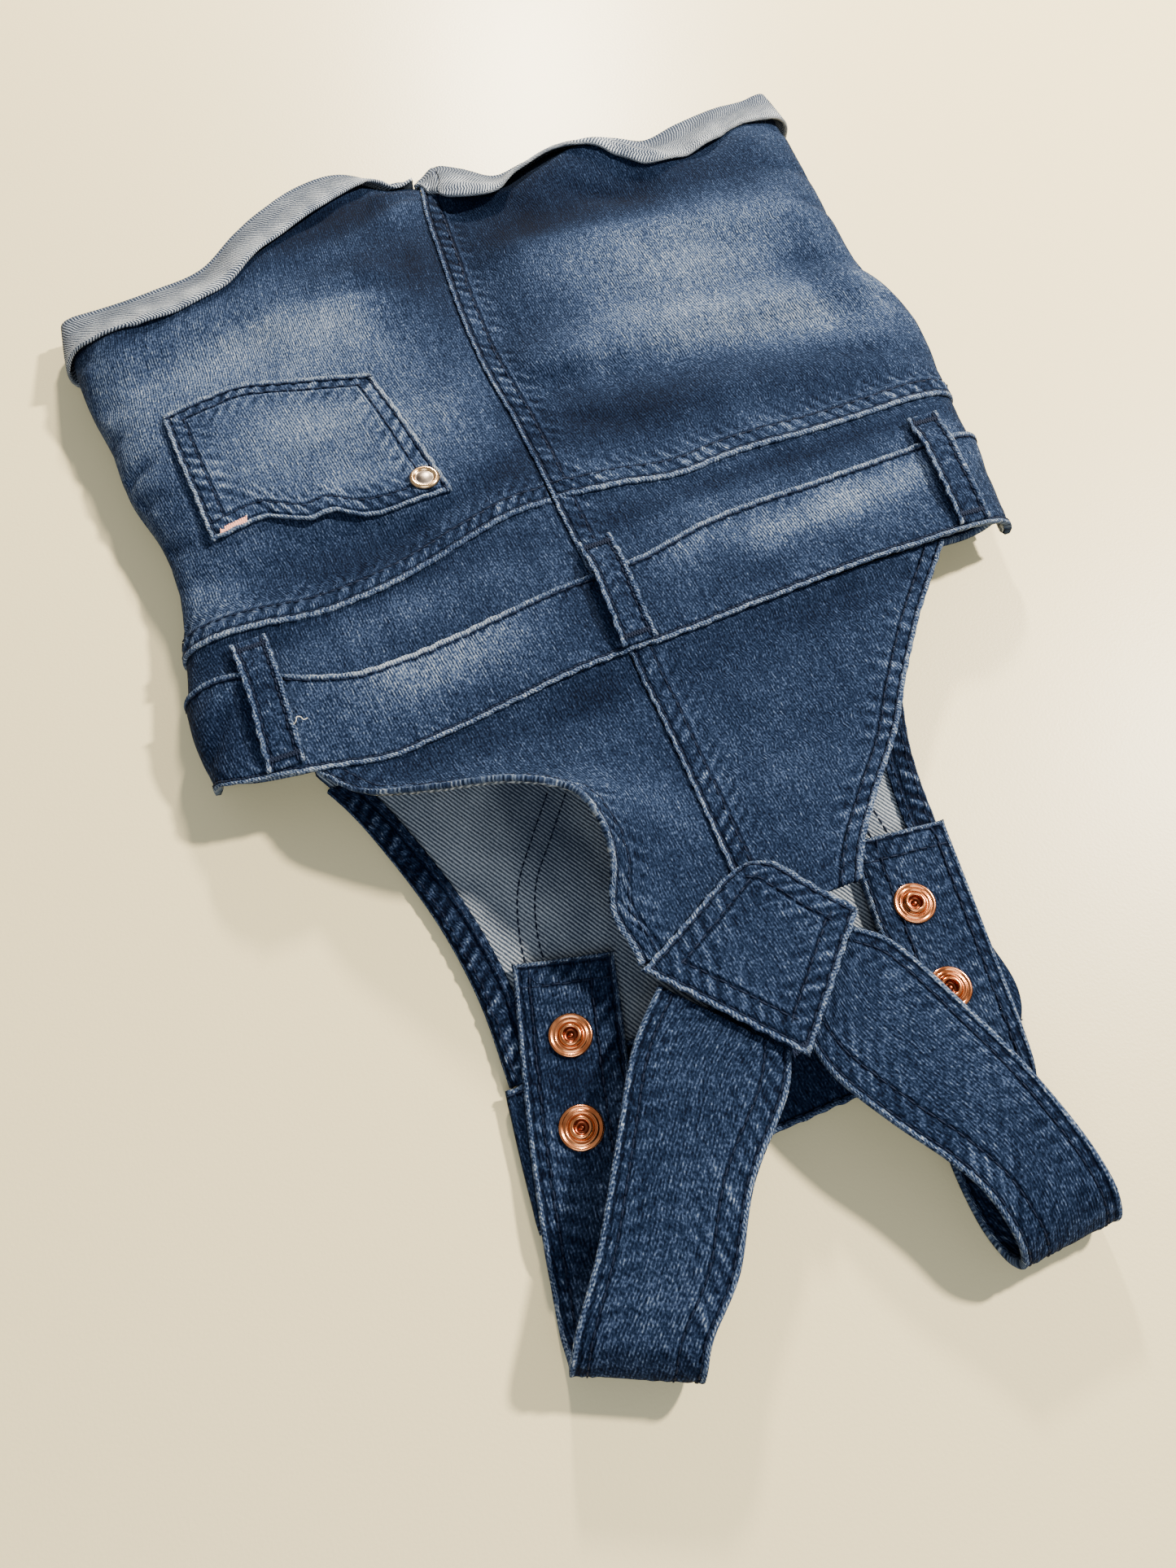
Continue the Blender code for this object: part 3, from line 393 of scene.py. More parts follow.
def body_face(side, t, y, step=0.05):
    """Outer face of one half of the body: t is 0 at the centre back, 1 at the side, 2 in front."""
    t, y = np.broadcast_arrays(np.asarray(t, float), np.asarray(y, float))
    inner = centre_x(y, side)
    outer = side_x(side, y)
    parted = ease(y, CROTCH_START, CROTCH_END)
    on_back = t <= 1
    roll = np.where(on_back, roll_width(side, y), ROLL_FRONT)
    share = np.where(on_back, t, 2 - t)
    flat_from = inner + side * LEG_ROLL
    flat_to = outer - side * roll
    away = np.clip(1 - share / INNER_SHARE, 0, 1)
    turn_in = away * math.pi / 2
    turn_out = np.clip((share - 1 + SIDE_SHARE) / SIDE_SHARE, 0, 1) * math.pi / 2
    x_in = flat_from - side * LEG_ROLL * blend(away, np.sin(turn_in), parted)
    x_out = flat_to + side * roll * np.sin(turn_out)
    x_mid = blend(flat_from, flat_to, (share - INNER_SHARE) / (1 - SIDE_SHARE - INNER_SHARE))
    at_inseam = share < INNER_SHARE
    at_side = share > 1 - SIDE_SHARE
    x = np.where(at_inseam, x_in, np.where(at_side, x_out, x_mid))
    full_out = np.where(on_back, np.cos(turn_out) ** 0.7, np.cos(turn_out))
    full = np.where(at_inseam, blend(1.0, np.cos(turn_in), parted), full_out)
    face = np.where(on_back, back_height(x, y) + seam_raise(x, y, step), front_height(side, x, y))
    seam_z = SIDE_Z + SEAM_HALF * np.where(on_back, 1, -1)
    return np.stack([x, y, seam_z + (face - seam_z) * full], axis=-1)


def body_panel(side, stations, low_line, high_line, shares):
    """Grid of a panel between two seam lines, each a function of x."""
    t = np.asarray(stations)[None, :]
    share = np.asarray(shares)[:, None]
    y = blend(low_line(0.0), high_line(0.0), share) + 0 * t
    for _ in range(5):
        x = body_face(side, t, y)[..., 0]
        y = blend(low_line(x), high_line(x), share)
    return body_face(side, t, y)


def lengths(grid, axis):
    """Distance over the cloth of each grid point from the first row or column."""
    steps = np.linalg.norm(np.diff(grid, axis=axis), axis=2)
    first = [(0, 0), (0, 0)]
    first[axis] = (1, 0)
    return np.cumsum(np.pad(steps, first), axis=axis)


def run_along(line):
    """Distance of each point of a line from its start."""
    return np.concatenate([[0], np.cumsum(np.linalg.norm(np.diff(line, axis=0), axis=1))])


def from_edges(grid):
    """For each edge of a grid, the distance from it and the run along it."""
    down = lengths(grid, 0)
    across = lengths(grid, 1)
    return {
        "first row": (down, across),
        "last row": (down[-1:] - down, across),
        "first column": (across, down),
        "last column": (across[:, -1:] - across, down),
    }


def ripple(along, pitch, seed):
    """Uneven waves between -1 and 1, one to each pitch."""
    rng = np.random.default_rng(seed)
    place = (along - along.min()) / (pitch / 2)
    count = int(place.max()) + 3
    heights = rng.uniform(0.15, 1.0, count) * np.where(np.arange(count) % 2, 1, -1)
    k = place.astype(int)
    share = place - k
    return blend(heights[k], heights[k + 1], share * share * (3 - 2 * share))


def waves(x, y, size, seed):
    """Slow unevenness of cloth that has been worn and washed, between about -1 and 1."""
    rng = np.random.default_rng(seed)
    total = 0.0
    for _ in range(7):
        turn = rng.uniform(0, math.pi)
        length = size * rng.uniform(0.6, 1.6)
        phase = rng.uniform(0, 2 * math.pi)
        total = total + np.sin((x * math.cos(turn) + y * math.sin(turn)) * 2 * math.pi / length + phase)
    return total / 4


def work_seams(grid, seams, seed, stand=0.0, pucker_size=1.0):
    """Raises the stitched edges of a panel, and says for each point how it is worn.

    seams gives for each worn edge the width of its stitched strip; 0 is a bare folded edge
    with one row of stitches.
    """
    edge = np.full(grid.shape[:2], 60.0)
    run = np.zeros(grid.shape[:2])
    strip = np.zeros(grid.shape[:2])
    drift = np.zeros(grid.shape)
    for k, (name, width) in enumerate(seams.items()):
        distance, along = from_edges(grid)[name]
        nearer = distance < edge
        edge = np.where(nearer, distance, edge)
        run = np.where(nearer, along, run)
        strip = np.where(nearer, float(width), strip)
        inward = np.gradient(grid, axis=0 if "row" in name else 1)
        inward /= np.linalg.norm(inward, axis=2, keepdims=True) + 1e-9
        sway = 0.30 * ripple(along, 5.5, seed + 7 + k) * np.exp(-distance / 3.0)
        drift += inward * sway[..., None]
    wide = strip > 0
    wave = ripple(run + 0.8 * edge, 4.6, seed) + 0.35 * ripple(run - 0.3 * edge, 2.7, seed + 3)
    inside = ease(edge, 1.4, 2.8) * (1 - ease(edge, strip - 2.0, strip - 0.6))
    beyond = 0.75 * ease(edge, strip + 0.2, strip + 1.4) * (1 - ease(edge, strip + 1.5, strip + 8))
    pucker = wave * np.where(wide, inside + beyond, 0.5 * (1 - ease(edge, 3, 9)) * ease(edge, 1.4, 3))
    step_end = np.where(wide, strip + 0.3, 2.3)
    raised = stand * (1 - ease(edge, step_end - 0.3, step_end + 0.8))
    lip = 0.38 * np.exp(-((edge - 0.9) / 0.75) ** 2)
    ridge = np.where(wide, 0.26 * np.exp(-((edge - strip - 0.1) / 0.6) ** 2), 0.0)
    groove = np.exp(-((edge - 2.1) / 0.55) ** 2)
    groove = groove + np.where(wide, np.exp(-((edge - strip + 0.9) / 0.5) ** 2), 0.0)
    height = raised + lip + ridge - 0.34 * groove + 0.42 * pucker * pucker_size
    worn = 0.62 * pucker * pucker_size + 1.3 * ridge * (0.6 + 0.5 * wave)
    marks = {"edge": edge, "run": run, "strip": strip, "wear_and_shade": worn}
    return push(grid, height) + drift, marks


def face_normals(grid, face_up=True):
    normal = np.cross(np.gradient(grid, axis=0), np.gradient(grid, axis=1))
    normal /= np.linalg.norm(normal, axis=2, keepdims=True) + 1e-9
    return normal if (normal[0, grid.shape[1] // 2, 2] > 0) == face_up else -normal


def push(grid, height):
    """Moves the points of a panel out from its face, each by its own height."""
    return grid + face_normals(grid) * height[..., None]


def inset(grid, edge, distance, trim, lift=0.12):
    """A line on a panel's face, at one distance from an edge, for a row of stitches."""
    away = from_edges(grid)[edge][0]
    raised = grid + face_normals(grid) * lift
    if "column" in edge:
        raised = raised.transpose(1, 0, 2)
        away = away.T
    if away[0, 0] > away[-1, 0]:
        raised = raised[::-1]
        away = away[::-1]
    line = np.array([
        [np.interp(distance, away[:, j], raised[:, j, axis]) for axis in range(3)]
        for j in range(raised.shape[1])
    ])
    run = run_along(line)
    return line[(run >= trim) & (run <= run[-1] - trim)]


def felled_rows(grid, edge, trim):
    """The two rows of stitches of a felled seam or a turned hem."""
    return [inset(grid, edge, distance, trim) for distance in (FIRST_ROW, SECOND_ROW)]


def to_frame(points):
    return (np.asarray(points, float).reshape(-1, 3) + FRAME_SHIFT) * MM


def into_scene(name, data):
    made = bpy.data.objects.new(name, data)
    bpy.context.scene.collection.objects.link(made)
    return made


def finished_mesh(name, points, faces, finishes, finish_of_face):
    mesh = bpy.data.meshes.new(name)
    mesh.from_pydata(to_frame(points).tolist(), [], faces)
    for finish in finishes:
        mesh.materials.append(finish)
    mesh.polygons.foreach_set("material_index", np.asarray(finish_of_face, np.int32))
    mesh.polygons.foreach_set("use_smooth", np.ones(len(faces), bool))
    return mesh


def cloth_mesh(name, points, faces, finishes, finish_of_face, cut, marks):
    """Makes the plain mesh of a piece, with its cut's places as its UV map, in millimetres."""
    mesh = finished_mesh(name, points, faces, finishes, finish_of_face)
    corners = np.zeros(len(mesh.loops), np.int32)
    mesh.loops.foreach_get("vertex_index", corners)
    uv = mesh.uv_layers.new(name="cut")
    uv.data.foreach_set("uv", np.asarray(cut, np.float32)[corners].ravel())
    for mark, values in marks.items():
        kept = mesh.attributes.new(mark, "FLOAT", "POINT")
        kept.data.foreach_set("value", np.asarray(values, np.float32))
    mesh.update()
    return into_scene(name, mesh)


def make_shell(name, outer, thickness, finishes, marks, cut, face_up=True):
    """A closed wall of cloth with rounded edges, from a grid of points on its outer face."""
    raw = np.cross(np.gradient(outer, axis=0), np.gradient(outer, axis=1))
    normal = face_normals(outer, face_up)
    thickness = np.zeros(outer.shape[:2] + (1,)) + thickness
    rounding = thickness.mean() * 0.35
    for _ in range(4):
        normal[1:-1] = (normal[:-2] + normal[1:-1] + normal[2:]) / 3
        normal[:, 1:-1] = (normal[:, :-2] + normal[:, 1:-1] + normal[:, 2:]) / 3
    normal /= np.linalg.norm(normal, axis=2, keepdims=True)
    if (raw * normal).sum() < 0:
        outer = outer[:, ::-1]
        normal = normal[:, ::-1]
        thickness = thickness[:, ::-1]
        cut = cut[:, ::-1]
        marks = {mark: values[:, ::-1] for mark, values in marks.items()}
    rows, across = outer.shape[:2]
    inner = outer - normal * thickness
    rim = [i * across for i in range(rows)]
    rim += [(rows - 1) * across + j for j in range(1, across)]
    rim += [i * across + across - 1 for i in range(rows - 2, -1, -1)]
    rim += list(range(across - 2, 0, -1))
    middle = ((outer + inner) / 2).reshape(-1, 3)[rim]
    walls = []
    for face in (outer, inner):
        pulled = face.copy()
        for here, beside in ((0, 1), (-1, -2)):
            for axes in ((0, 1, 2), (1, 0, 2)):
                step = face.transpose(axes)[beside] - face.transpose(axes)[here]
                size = np.linalg.norm(step, axis=1, keepdims=True) + 1e-9
                pulled.transpose(axes)[here] += step / size * np.minimum(size * 0.45, rounding)
        walls.append(pulled.reshape(-1, 3))
    count = rows * across
    points = np.concatenate(walls + [middle])
    i, j = np.mgrid[0:rows - 1, 0:across - 1]
    a = (i * across + j).ravel()
    quads = np.stack([a, a + across, a + across + 1, a + 1], axis=1)
    faces = quads.tolist() + (quads[:, ::-1] + count).tolist()
    finish_of_face = [0] * len(quads) + [1] * len(quads)
    for k in range(len(rim)):
        after = (k + 1) % len(rim)
        faces.append([rim[after], rim[k], 2 * count + k, 2 * count + after])
        faces.append([2 * count + after, 2 * count + k, rim[k] + count, rim[after] + count])
        finish_of_face += [0, 0]
    spread = np.concatenate([np.arange(count), np.arange(count), np.array(rim)])
    cut = cut.reshape(-1, 2)[spread]
    marks = {mark: values.reshape(-1)[spread] for mark, values in marks.items()}
    return cloth_mesh(name, points, faces, finishes, finish_of_face, cut, marks)


def cut_places(grid, side=LEFT):
    """Place of each point on the flat cloth, in millimetres: across the warp and along it."""
    return np.stack([lengths(grid, 1) * side, grid[..., 1]], axis=2)


def lay(piece, node, with_pieces=()):
    """Fixes a piece of cloth and the pieces that go with it to the body, and hides the part that it
    replaces.
    """
    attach(piece, "root")
    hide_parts(node)
    for extra in with_pieces:
        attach(extra, "root")


def join(tree, node, inputs):
    """Joins each named input of a node to another node, or sets its value."""
    for place, value in inputs.items():
        if isinstance(value, bpy.types.NodeSocket):
            tree.links.new(value, node.inputs[place])
        else:
            node.inputs[place].default_value = value


def add(tree, kind, inputs=None, **fields):
    """Adds a node, sets its fields, and joins or sets its inputs."""
    node = tree.nodes.new(kind)
    for field, value in fields.items():
        setattr(node, field, value)
    join(tree, node, inputs or {})
    return node


def calc(tree, operation, *values):
    return add(tree, "ShaderNodeMath", dict(enumerate(values)), operation=operation).outputs[0]


def add_swing(tree, noise, amount, total):
    """Adds a noise's swing about its middle to a total."""
    return calc(tree, "MULTIPLY_ADD", calc(tree, "SUBTRACT", noise, 0.5), amount, total)


def soft_step(tree, value, low, high):
    inputs = {"Value": value, "From Min": low, "From Max": high}
    return add(tree, "ShaderNodeMapRange", inputs, interpolation_type="SMOOTHSTEP").outputs[0]


def bell(tree, value, centre, width):
    """1 where value is at the centre, falling to 0 within about twice the width."""
    away = calc(tree, "DIVIDE", calc(tree, "SUBTRACT", value, centre), width)
    return calc(tree, "EXPONENT", calc(tree, "MULTIPLY", calc(tree, "MULTIPLY", away, away), -1.0))


def grain(tree, place, across, along, detail=2.0):
    """Noise between 0 and 1, with grains of this size across and along the warp."""
    scaled = add(tree, "ShaderNodeVectorMath", {0: place, 1: (1 / across, 1 / along, 1.0)},
                 operation="MULTIPLY").outputs[0]
    return add(tree, "ShaderNodeTexNoise", {"Vector": scaled, "Scale": 1.0, "Detail": detail},
               noise_dimensions="2D").outputs[0]


def twill_lines(tree, place, pitch, lean, wander):
    """Diagonal lines of the twill, between 0 and 1; lean is their step across for each step up."""
    apart = add(tree, "ShaderNodeSeparateXYZ", {0: place})
    length = math.hypot(1.0, lean)
    u = calc(tree, "MULTIPLY", apart.outputs[0], 1 / length)
    v = calc(tree, "MULTIPLY", apart.outputs[1], -lean / length)
    phase = calc(tree, "MULTIPLY", calc(tree, "ADD", u, v), 2 * math.pi / pitch)
    phase = calc(tree, "ADD", phase, wander)
    return calc(tree, "MULTIPLY_ADD", calc(tree, "SINE", phase), 0.5, 0.5)


def colour_ramp(tree, factor, stops):
    """Colour at a factor, between the stops' places and colours."""
    node = add(tree, "ShaderNodeValToRGB", {0: factor})
    while len(node.color_ramp.elements) < len(stops):
        node.color_ramp.elements.new(0.5)
    for element, (position, colour) in zip(node.color_ramp.elements, stops):
        element.position = position
        element.color = (*colour, 1.0)
    return node.outputs[0]


def start_group(name, kind, inputs, outputs):
    """A new group of nodes with its named inputs and outputs, and what its nodes read."""
    tree = bpy.data.node_groups.new(name, kind)
    for way, sockets in (("INPUT", inputs), ("OUTPUT", outputs)):
        for socket, holds in sockets.items():
            tree.interface.new_socket(socket, in_out=way, socket_type="NodeSocket" + holds)
    return tree, add(tree, "NodeGroupInput").outputs


def make_denim_group():
    """Indigo twill: pale where worn, at folded edges and on puckers; dark along stitches; darker where
    the piece's mark holds painted shade.
    """
    inputs = {"Place on cut": "Vector"}
    inputs.update(dict.fromkeys(("Wear and shade", "Edge", "Run", "Strip", "Contrast"), "Float"))
    outputs = {"Colour": "Color", "Height": "Float", "Roughness": "Float"}
    tree, got = start_group("Indigo twill", "ShaderNodeTree", inputs, outputs)
    place, wear_and_shade, edge, run, strip, contrast = (got[k] for k in range(6))
    slub = grain(tree, place, 0.50, 3.0)
    streak = grain(tree, place, 1.7, 34.0, 3.0)
    speck = grain(tree, place, 0.60, 0.85, 1.0)
    mottle = grain(tree, place, 2.4, 4.6)
    blotch = grain(tree, place, 15.0, 22.0, 3.0)
    wander = calc(tree, "MULTIPLY", grain(tree, place, 3.0, 7.0), 3.4)
    twill = twill_lines(tree, place, 0.82, -0.16, wander)
    roped = calc(tree, "MULTIPLY", calc(tree, "MULTIPLY_ADD", edge, 0.8, run), 2 * math.pi / 1.15)
    hatch = calc(tree, "SINE", calc(tree, "ADD", roped, wander))
    hatch = calc(tree, "MULTIPLY_ADD", hatch, 0.5, 0.5)
    on_edge = calc(tree, "SUBTRACT", 1.0, soft_step(tree, edge, 1.3, 1.9))
    first_row = bell(tree, edge, 2.2, 0.46)
    has_strip = calc(tree, "GREATER_THAN", strip, 0.5)
    second_row = bell(tree, calc(tree, "SUBTRACT", strip, edge), 0.9, 0.5)
    second_row = calc(tree, "MULTIPLY", second_row, has_strip)
    rows = calc(tree, "ADD", first_row, second_row)
    paled = calc(tree, "MINIMUM", calc(tree, "MAXIMUM", wear_and_shade, 0.0), 0.8)
    line_depth = calc(tree, "MULTIPLY_ADD", paled, 0.75, 0.40)
    fine = 0.0
    for noise, amount in ((slub, 1.3), (speck, 2.0), (mottle, 0.40), (twill, line_depth)):
        fine = add_swing(tree, noise, amount, fine)
    # the piece's wear and painted shade, with streaks and blotches of the dye
    tone = add_swing(tree, streak, 0.44, wear_and_shade)
    tone = add_swing(tree, blotch, 0.42, tone)
    tone = calc(tree, "MULTIPLY_ADD", fine, contrast, tone)
    patchy = grain(tree, place, 4.0, 6.0)
    worn_edge = calc(tree, "MULTIPLY_ADD", hatch, 0.34, calc(tree, "MULTIPLY_ADD", patchy, 0.7, 0.14))
    tone = calc(tree, "MULTIPLY_ADD", on_edge, worn_edge, tone)
    tone = calc(tree, "MULTIPLY_ADD", rows, -0.62, tone)
    share = calc(tree, "MULTIPLY_ADD", tone, 0.42, 0.40)
    stops = [(0.0, (0.0012, 0.0024, 0.0075)), (0.22, (0.0035, 0.0075, 0.020)),
             (0.42, (0.010, 0.018, 0.040)), (0.60, (0.033, 0.050, 0.097)),
             (0.80, (0.100, 0.130, 0.182)), (1.0, (0.270, 0.300, 0.345))]
    colour = colour_ramp(tree, share, stops)
    height = calc(tree, "MULTIPLY", twill, 0.07)
    height = calc(tree, "MULTIPLY_ADD", slub, 0.10, height)
    height = calc(tree, "MULTIPLY_ADD", speck, 0.08, height)
    height = calc(tree, "MULTIPLY_ADD", calc(tree, "MULTIPLY", hatch, on_edge), 0.16, height)
    height = calc(tree, "MULTIPLY_ADD", rows, -0.25, height)
    roughness = calc(tree, "MULTIPLY_ADD", tone, 0.08, 0.80)
    add(tree, "NodeGroupOutput", {"Colour": colour, "Height": height, "Roughness": roughness})
    return tree


DENIM_GROUP = make_denim_group()


def mark_value(tree, name):
    return add(tree, "ShaderNodeAttribute", attribute_name=name).outputs["Fac"]


def start_material(name):
    made = bpy.data.materials.new(name)
    made.use_nodes = True
    return made, made.node_tree, made.node_tree.nodes["Principled BSDF"]


def bumped(tree, height, distance, strength=1.0):
    inputs = {"Height": height, "Distance": distance, "Strength": strength}
    return add(tree, "ShaderNodeBump", inputs).outputs[0]


def cut_place(tree):
    return add(tree, "ShaderNodeUVMap", uv_map="cut").outputs[0]


def make_denim(name, base_wear, contrast=0.85):
    """Denim whose wear and painted shade are read from the piece, over its own depth of dye."""
    made, tree, shader = start_material(name)
    dye = add(tree, "ShaderNodeGroup", node_tree=DENIM_GROUP)
    join(tree, dye, {
        "Place on cut": cut_place(tree),
        "Wear and shade": calc(tree, "ADD", mark_value(tree, "wear_and_shade"), base_wear),
        "Edge": mark_value(tree, "edge"),
        "Run": mark_value(tree, "run"),
        "Strip": mark_value(tree, "strip"),
        "Contrast": contrast,
    })
    join(tree, shader, {
        "Base Color": dye.outputs["Colour"],
        "Roughness": dye.outputs["Roughness"],
        "Normal": bumped(tree, dye.outputs["Height"], MM, 0.9),
        "Specular IOR Level": 0.02,
        "Sheen Weight": 0.01,
        "Sheen Roughness": 0.4,
        "Sheen Tint": (0.75, 0.84, 1.0, 1.0),
    })
    return made


def make_reverse_group():
    """Reverse of the denim: grey-white weft with thin dark lines of warp."""
    inputs = {"Place on cut": "Vector"}
    inputs.update(dict.fromkeys(("Lean", "Pitch", "Depth", "Shade", "Pale"), "Float"))
    outputs = {"Colour": "Color", "Height": "Float"}
    tree, got = start_group("Twill reverse", "ShaderNodeTree", inputs, outputs)
    place, lean, pitch, depth, shade, pale = (got[k] for k in range(6))
    wander = calc(tree, "MULTIPLY", grain(tree, place, 4.0, 6.0), 2.4)
    apart = add(tree, "ShaderNodeSeparateXYZ", {0: place})
    across = calc(tree, "SUBTRACT", apart.outputs[0], calc(tree, "MULTIPLY", apart.outputs[1], lean))
    size = calc(tree, "SQRT", calc(tree, "MULTIPLY_ADD", lean, lean, 1.0))
    phase = calc(tree, "DIVIDE", across, calc(tree, "MULTIPLY", size, pitch))
    phase = calc(tree, "MULTIPLY_ADD", phase, 2 * math.pi, wander)
    lines = calc(tree, "MULTIPLY_ADD", calc(tree, "SINE", phase), 0.5, 0.5)
    fleck = grain(tree, place, 0.5, 0.9, 2.0)
    mottle = grain(tree, place, 11.0, 17.0, 3.0)
    light = add_swing(tree, fleck, 0.8, calc(tree, "SUBTRACT", lines, 0.5))
    light = add_swing(tree, mottle, 0.4, calc(tree, "MULTIPLY", light, depth))
    light = calc(tree, "ADD", light, calc(tree, "ADD", shade, pale))
    stops = [(0.0, (0.016, 0.024, 0.045)), (0.3, (0.080, 0.098, 0.125)),
             (0.6, (0.235, 0.262, 0.300)), (1.0, (0.560, 0.580, 0.600))]
    height = calc(tree, "MULTIPLY_ADD", lines, 0.14, calc(tree, "MULTIPLY", fleck, 0.12))
    add(tree, "NodeGroupOutput", {"Colour": colour_ramp(tree, light, stops), "Height": height})
    return tree


REVERSE_GROUP = make_reverse_group()


def make_reverse(name, lean, pitch, depth, shade):
    made, tree, shader = start_material(name)
    weave = add(tree, "ShaderNodeGroup", node_tree=REVERSE_GROUP)
    join(tree, weave, {
        "Place on cut": cut_place(tree),
        "Lean": lean,
        "Pitch": pitch,
        "Depth": depth,
        "Shade": shade,
        "Pale": mark_value(tree, "pale"),
    })
    join(tree, shader, {
        "Base Color": weave.outputs["Colour"],
        "Normal": bumped(tree, weave.outputs["Height"], MM),
        "Roughness": 0.9,
        "Specular IOR Level": 0.1,
        "Sheen Weight": 0.04,
    })
    return made


def object_noise(tree, scale, detail=2.0):
    place = add(tree, "ShaderNodeTexCoord").outputs["Object"]
    inputs = {"Vector": place, "Scale": scale, "Detail": detail}
    return add(tree, "ShaderNodeTexNoise", inputs).outputs[0]


def make_thread(name, colour):
    made, tree, shader = start_material(name)
    paler = tuple(min(1.0, part * 1.8 + 0.002) for part in colour)
    inputs = {"Factor": object_noise(tree, 900.0), "A": (*colour, 1.0), "B": (*paler, 1.0)}
    mix = add(tree, "ShaderNodeMix", inputs, data_type="RGBA")
    join(tree, shader, {
        "Base Color": mix.outputs["Result"],
        "Roughness": 0.7,
        "Specular IOR Level": 0.12,
    })
    return made


def make_lockstitch_tree():
    """Rows of stitches: a short swollen bead of thread at each step along a line."""
    inputs = {"Lines": "Geometry", "Pitch": "Float", "Stitch length": "Float",
              "Thread width": "Float", "Thread": "Material"}
    tree, got = start_group("Lockstitch", "GeometryNodeTree", inputs, {"Stitches": "Geometry"})
    line = add(tree, "GeometryNodeMeshToCurve", {"Mesh": got["Lines"]}).outputs[0]
    even = add(tree, "GeometryNodeResampleCurve", {"Curve": line, "Length": got["Pitch"]},
               mode="LENGTH")
    spots = add(tree, "GeometryNodeCurveToPoints", {"Curve": even.outputs[0]}, mode="EVALUATED")
    bead = add(tree, "GeometryNodeMeshUVSphere", {"Segments": 6, "Rings": 4, "Radius": 0.5})
    uneven = add(tree, "FunctionNodeRandomValue", {2: 0.88, 3: 1.08, "Seed": 5}, data_type="FLOAT")
    long = calc(tree, "MULTIPLY", got["Stitch length"], uneven.outputs[1])
    size = add(tree, "ShaderNodeCombineXYZ", {0: got["Thread width"], 1: got["Thread width"], 2: long})
    inputs = {"Points": spots.outputs["Points"], "Instance": bead.outputs[0],
              "Rotation": spots.outputs["Rotation"], "Scale": size.outputs[0]}
    beads = add(tree, "GeometryNodeInstanceOnPoints", inputs)
    solid = add(tree, "GeometryNodeRealizeInstances", {0: beads.outputs[0]})
    round_off = add(tree, "GeometryNodeSetShadeSmooth", {0: solid.outputs[0]})
    dyed = add(tree, "GeometryNodeSetMaterial", {0: round_off.outputs[0], "Material": got["Thread"]})
    add(tree, "NodeGroupOutput", {0: dyed.outputs[0]})
    return tree


LOCKSTITCH = make_lockstitch_tree()


def grow(name, lines, tree, settings):
    """Runs a tree of geometry nodes along lines, and keeps the result as a plain mesh."""
    points = []
    edges = []
    for line in lines:
        first = len(points)
        points += to_frame(line).tolist()
        edges += [(first + k, first + k + 1) for k in range(len(line) - 1)]
    mesh = bpy.data.meshes.new(name + "_lines")
    mesh.from_pydata(points, edges, [])
    source = into_scene(name + "_lines", mesh)
    modifier = source.modifiers.new("grow", "NODES")
    modifier.node_group = tree
    for item in tree.interface.items_tree:
        if item.in_out == "INPUT" and item.name in settings:
            modifier[item.identifier] = settings[item.name]
    evaluated = source.evaluated_get(bpy.context.evaluated_depsgraph_get())
    result = into_scene(name, bpy.data.meshes.new_from_object(evaluated))
    result.data.name = name
    bpy.data.objects.remove(source, do_unlink=True)
    return result


NAVY_THREAD = make_thread("navy_thread", (0.003, 0.006, 0.017))


def sew(name, lines, pitch=2.7, length=2.5, width=0.55, thread=NAVY_THREAD):
    settings = {"Pitch": pitch * MM, "Stitch length": length * MM, "Thread width": width * MM,
                "Thread": thread}
    return grow(name, lines, LOCKSTITCH, settings)


BACK_DENIM = make_denim("denim_washed", 0.0)
PLAIN_REVERSE = make_reverse("denim_reverse_plain", -0.6, 1.0, 0.5, 0.40)
STEPS_ROUND = np.concatenate([
    np.linspace(0, INNER_SHARE, 22),
    np.linspace(INNER_SHARE, 1 - SIDE_SHARE, 76)[1:],
    np.linspace(1 - SIDE_SHARE, 1, 20)[1:],
])
STEPS_SEAT = np.concatenate([np.linspace(0, 0.06, 18), np.linspace(0.06, 1, 100)[1:]])


def make_seat(side):
    name = SIDE_NAMES[side]
    low = lambda x: seam_line(YOKE_SEAM, "y", x) - 0.4
    high = lambda x: hem_y(side, x)
    grid = body_panel(side, STEPS_ROUND, low, high, STEPS_SEAT)
    x, y = grid[..., 0], grid[..., 1]
    relief = crease_height(SEAT_CREASES, x, y) + 0.30 * waves(x, y, 46, 3) + 0.16 * waves(x, y, 17, 4)
    calm = 1 - 0.75 * (lengths(grid, 1)[:, -1:] - lengths(grid, 1) < 6)
    grid = push(grid, relief * calm)
    seams = {"first row": FELL_WIDTH}
    if side == LEFT:
        seams["first column"] = FELL_WIDTH
    centre = from_edges(grid)["first column"][0]
    grid, marks = work_seams(grid, seams, 11 + side, pucker_size=1.1)
    step = 0.75 * (1 - ease(from_edges(grid)["first row"][0], 7.2, 8.6))
    grid = push(grid, step * ease(centre, 0.0, 9.0 if side == LEFT else 0.6))
    # the wash, painted shade under the cuffs, and colour that follows the relief
    marks["wear_and_shade"] += fade_and_shade_sum(SEAT_FADES_AND_SHADE, x, y) + 0.14 * relief
    finishes = (BACK_DENIM, PLAIN_REVERSE)
    piece = make_shell("seat_" + name, grid, DENIM, finishes, marks, cut_places(grid, side))
    rows = felled_rows(grid, "first row", 2.0)
    if side == LEFT:
        rows += felled_rows(grid, "first column", 9.0)
    stitches = sew("seat_stitches_" + name, rows)
    lay(piece, "back_" + name, [stitches])
    return piece


SEATS = [make_seat(side) for side in (RIGHT, LEFT)]

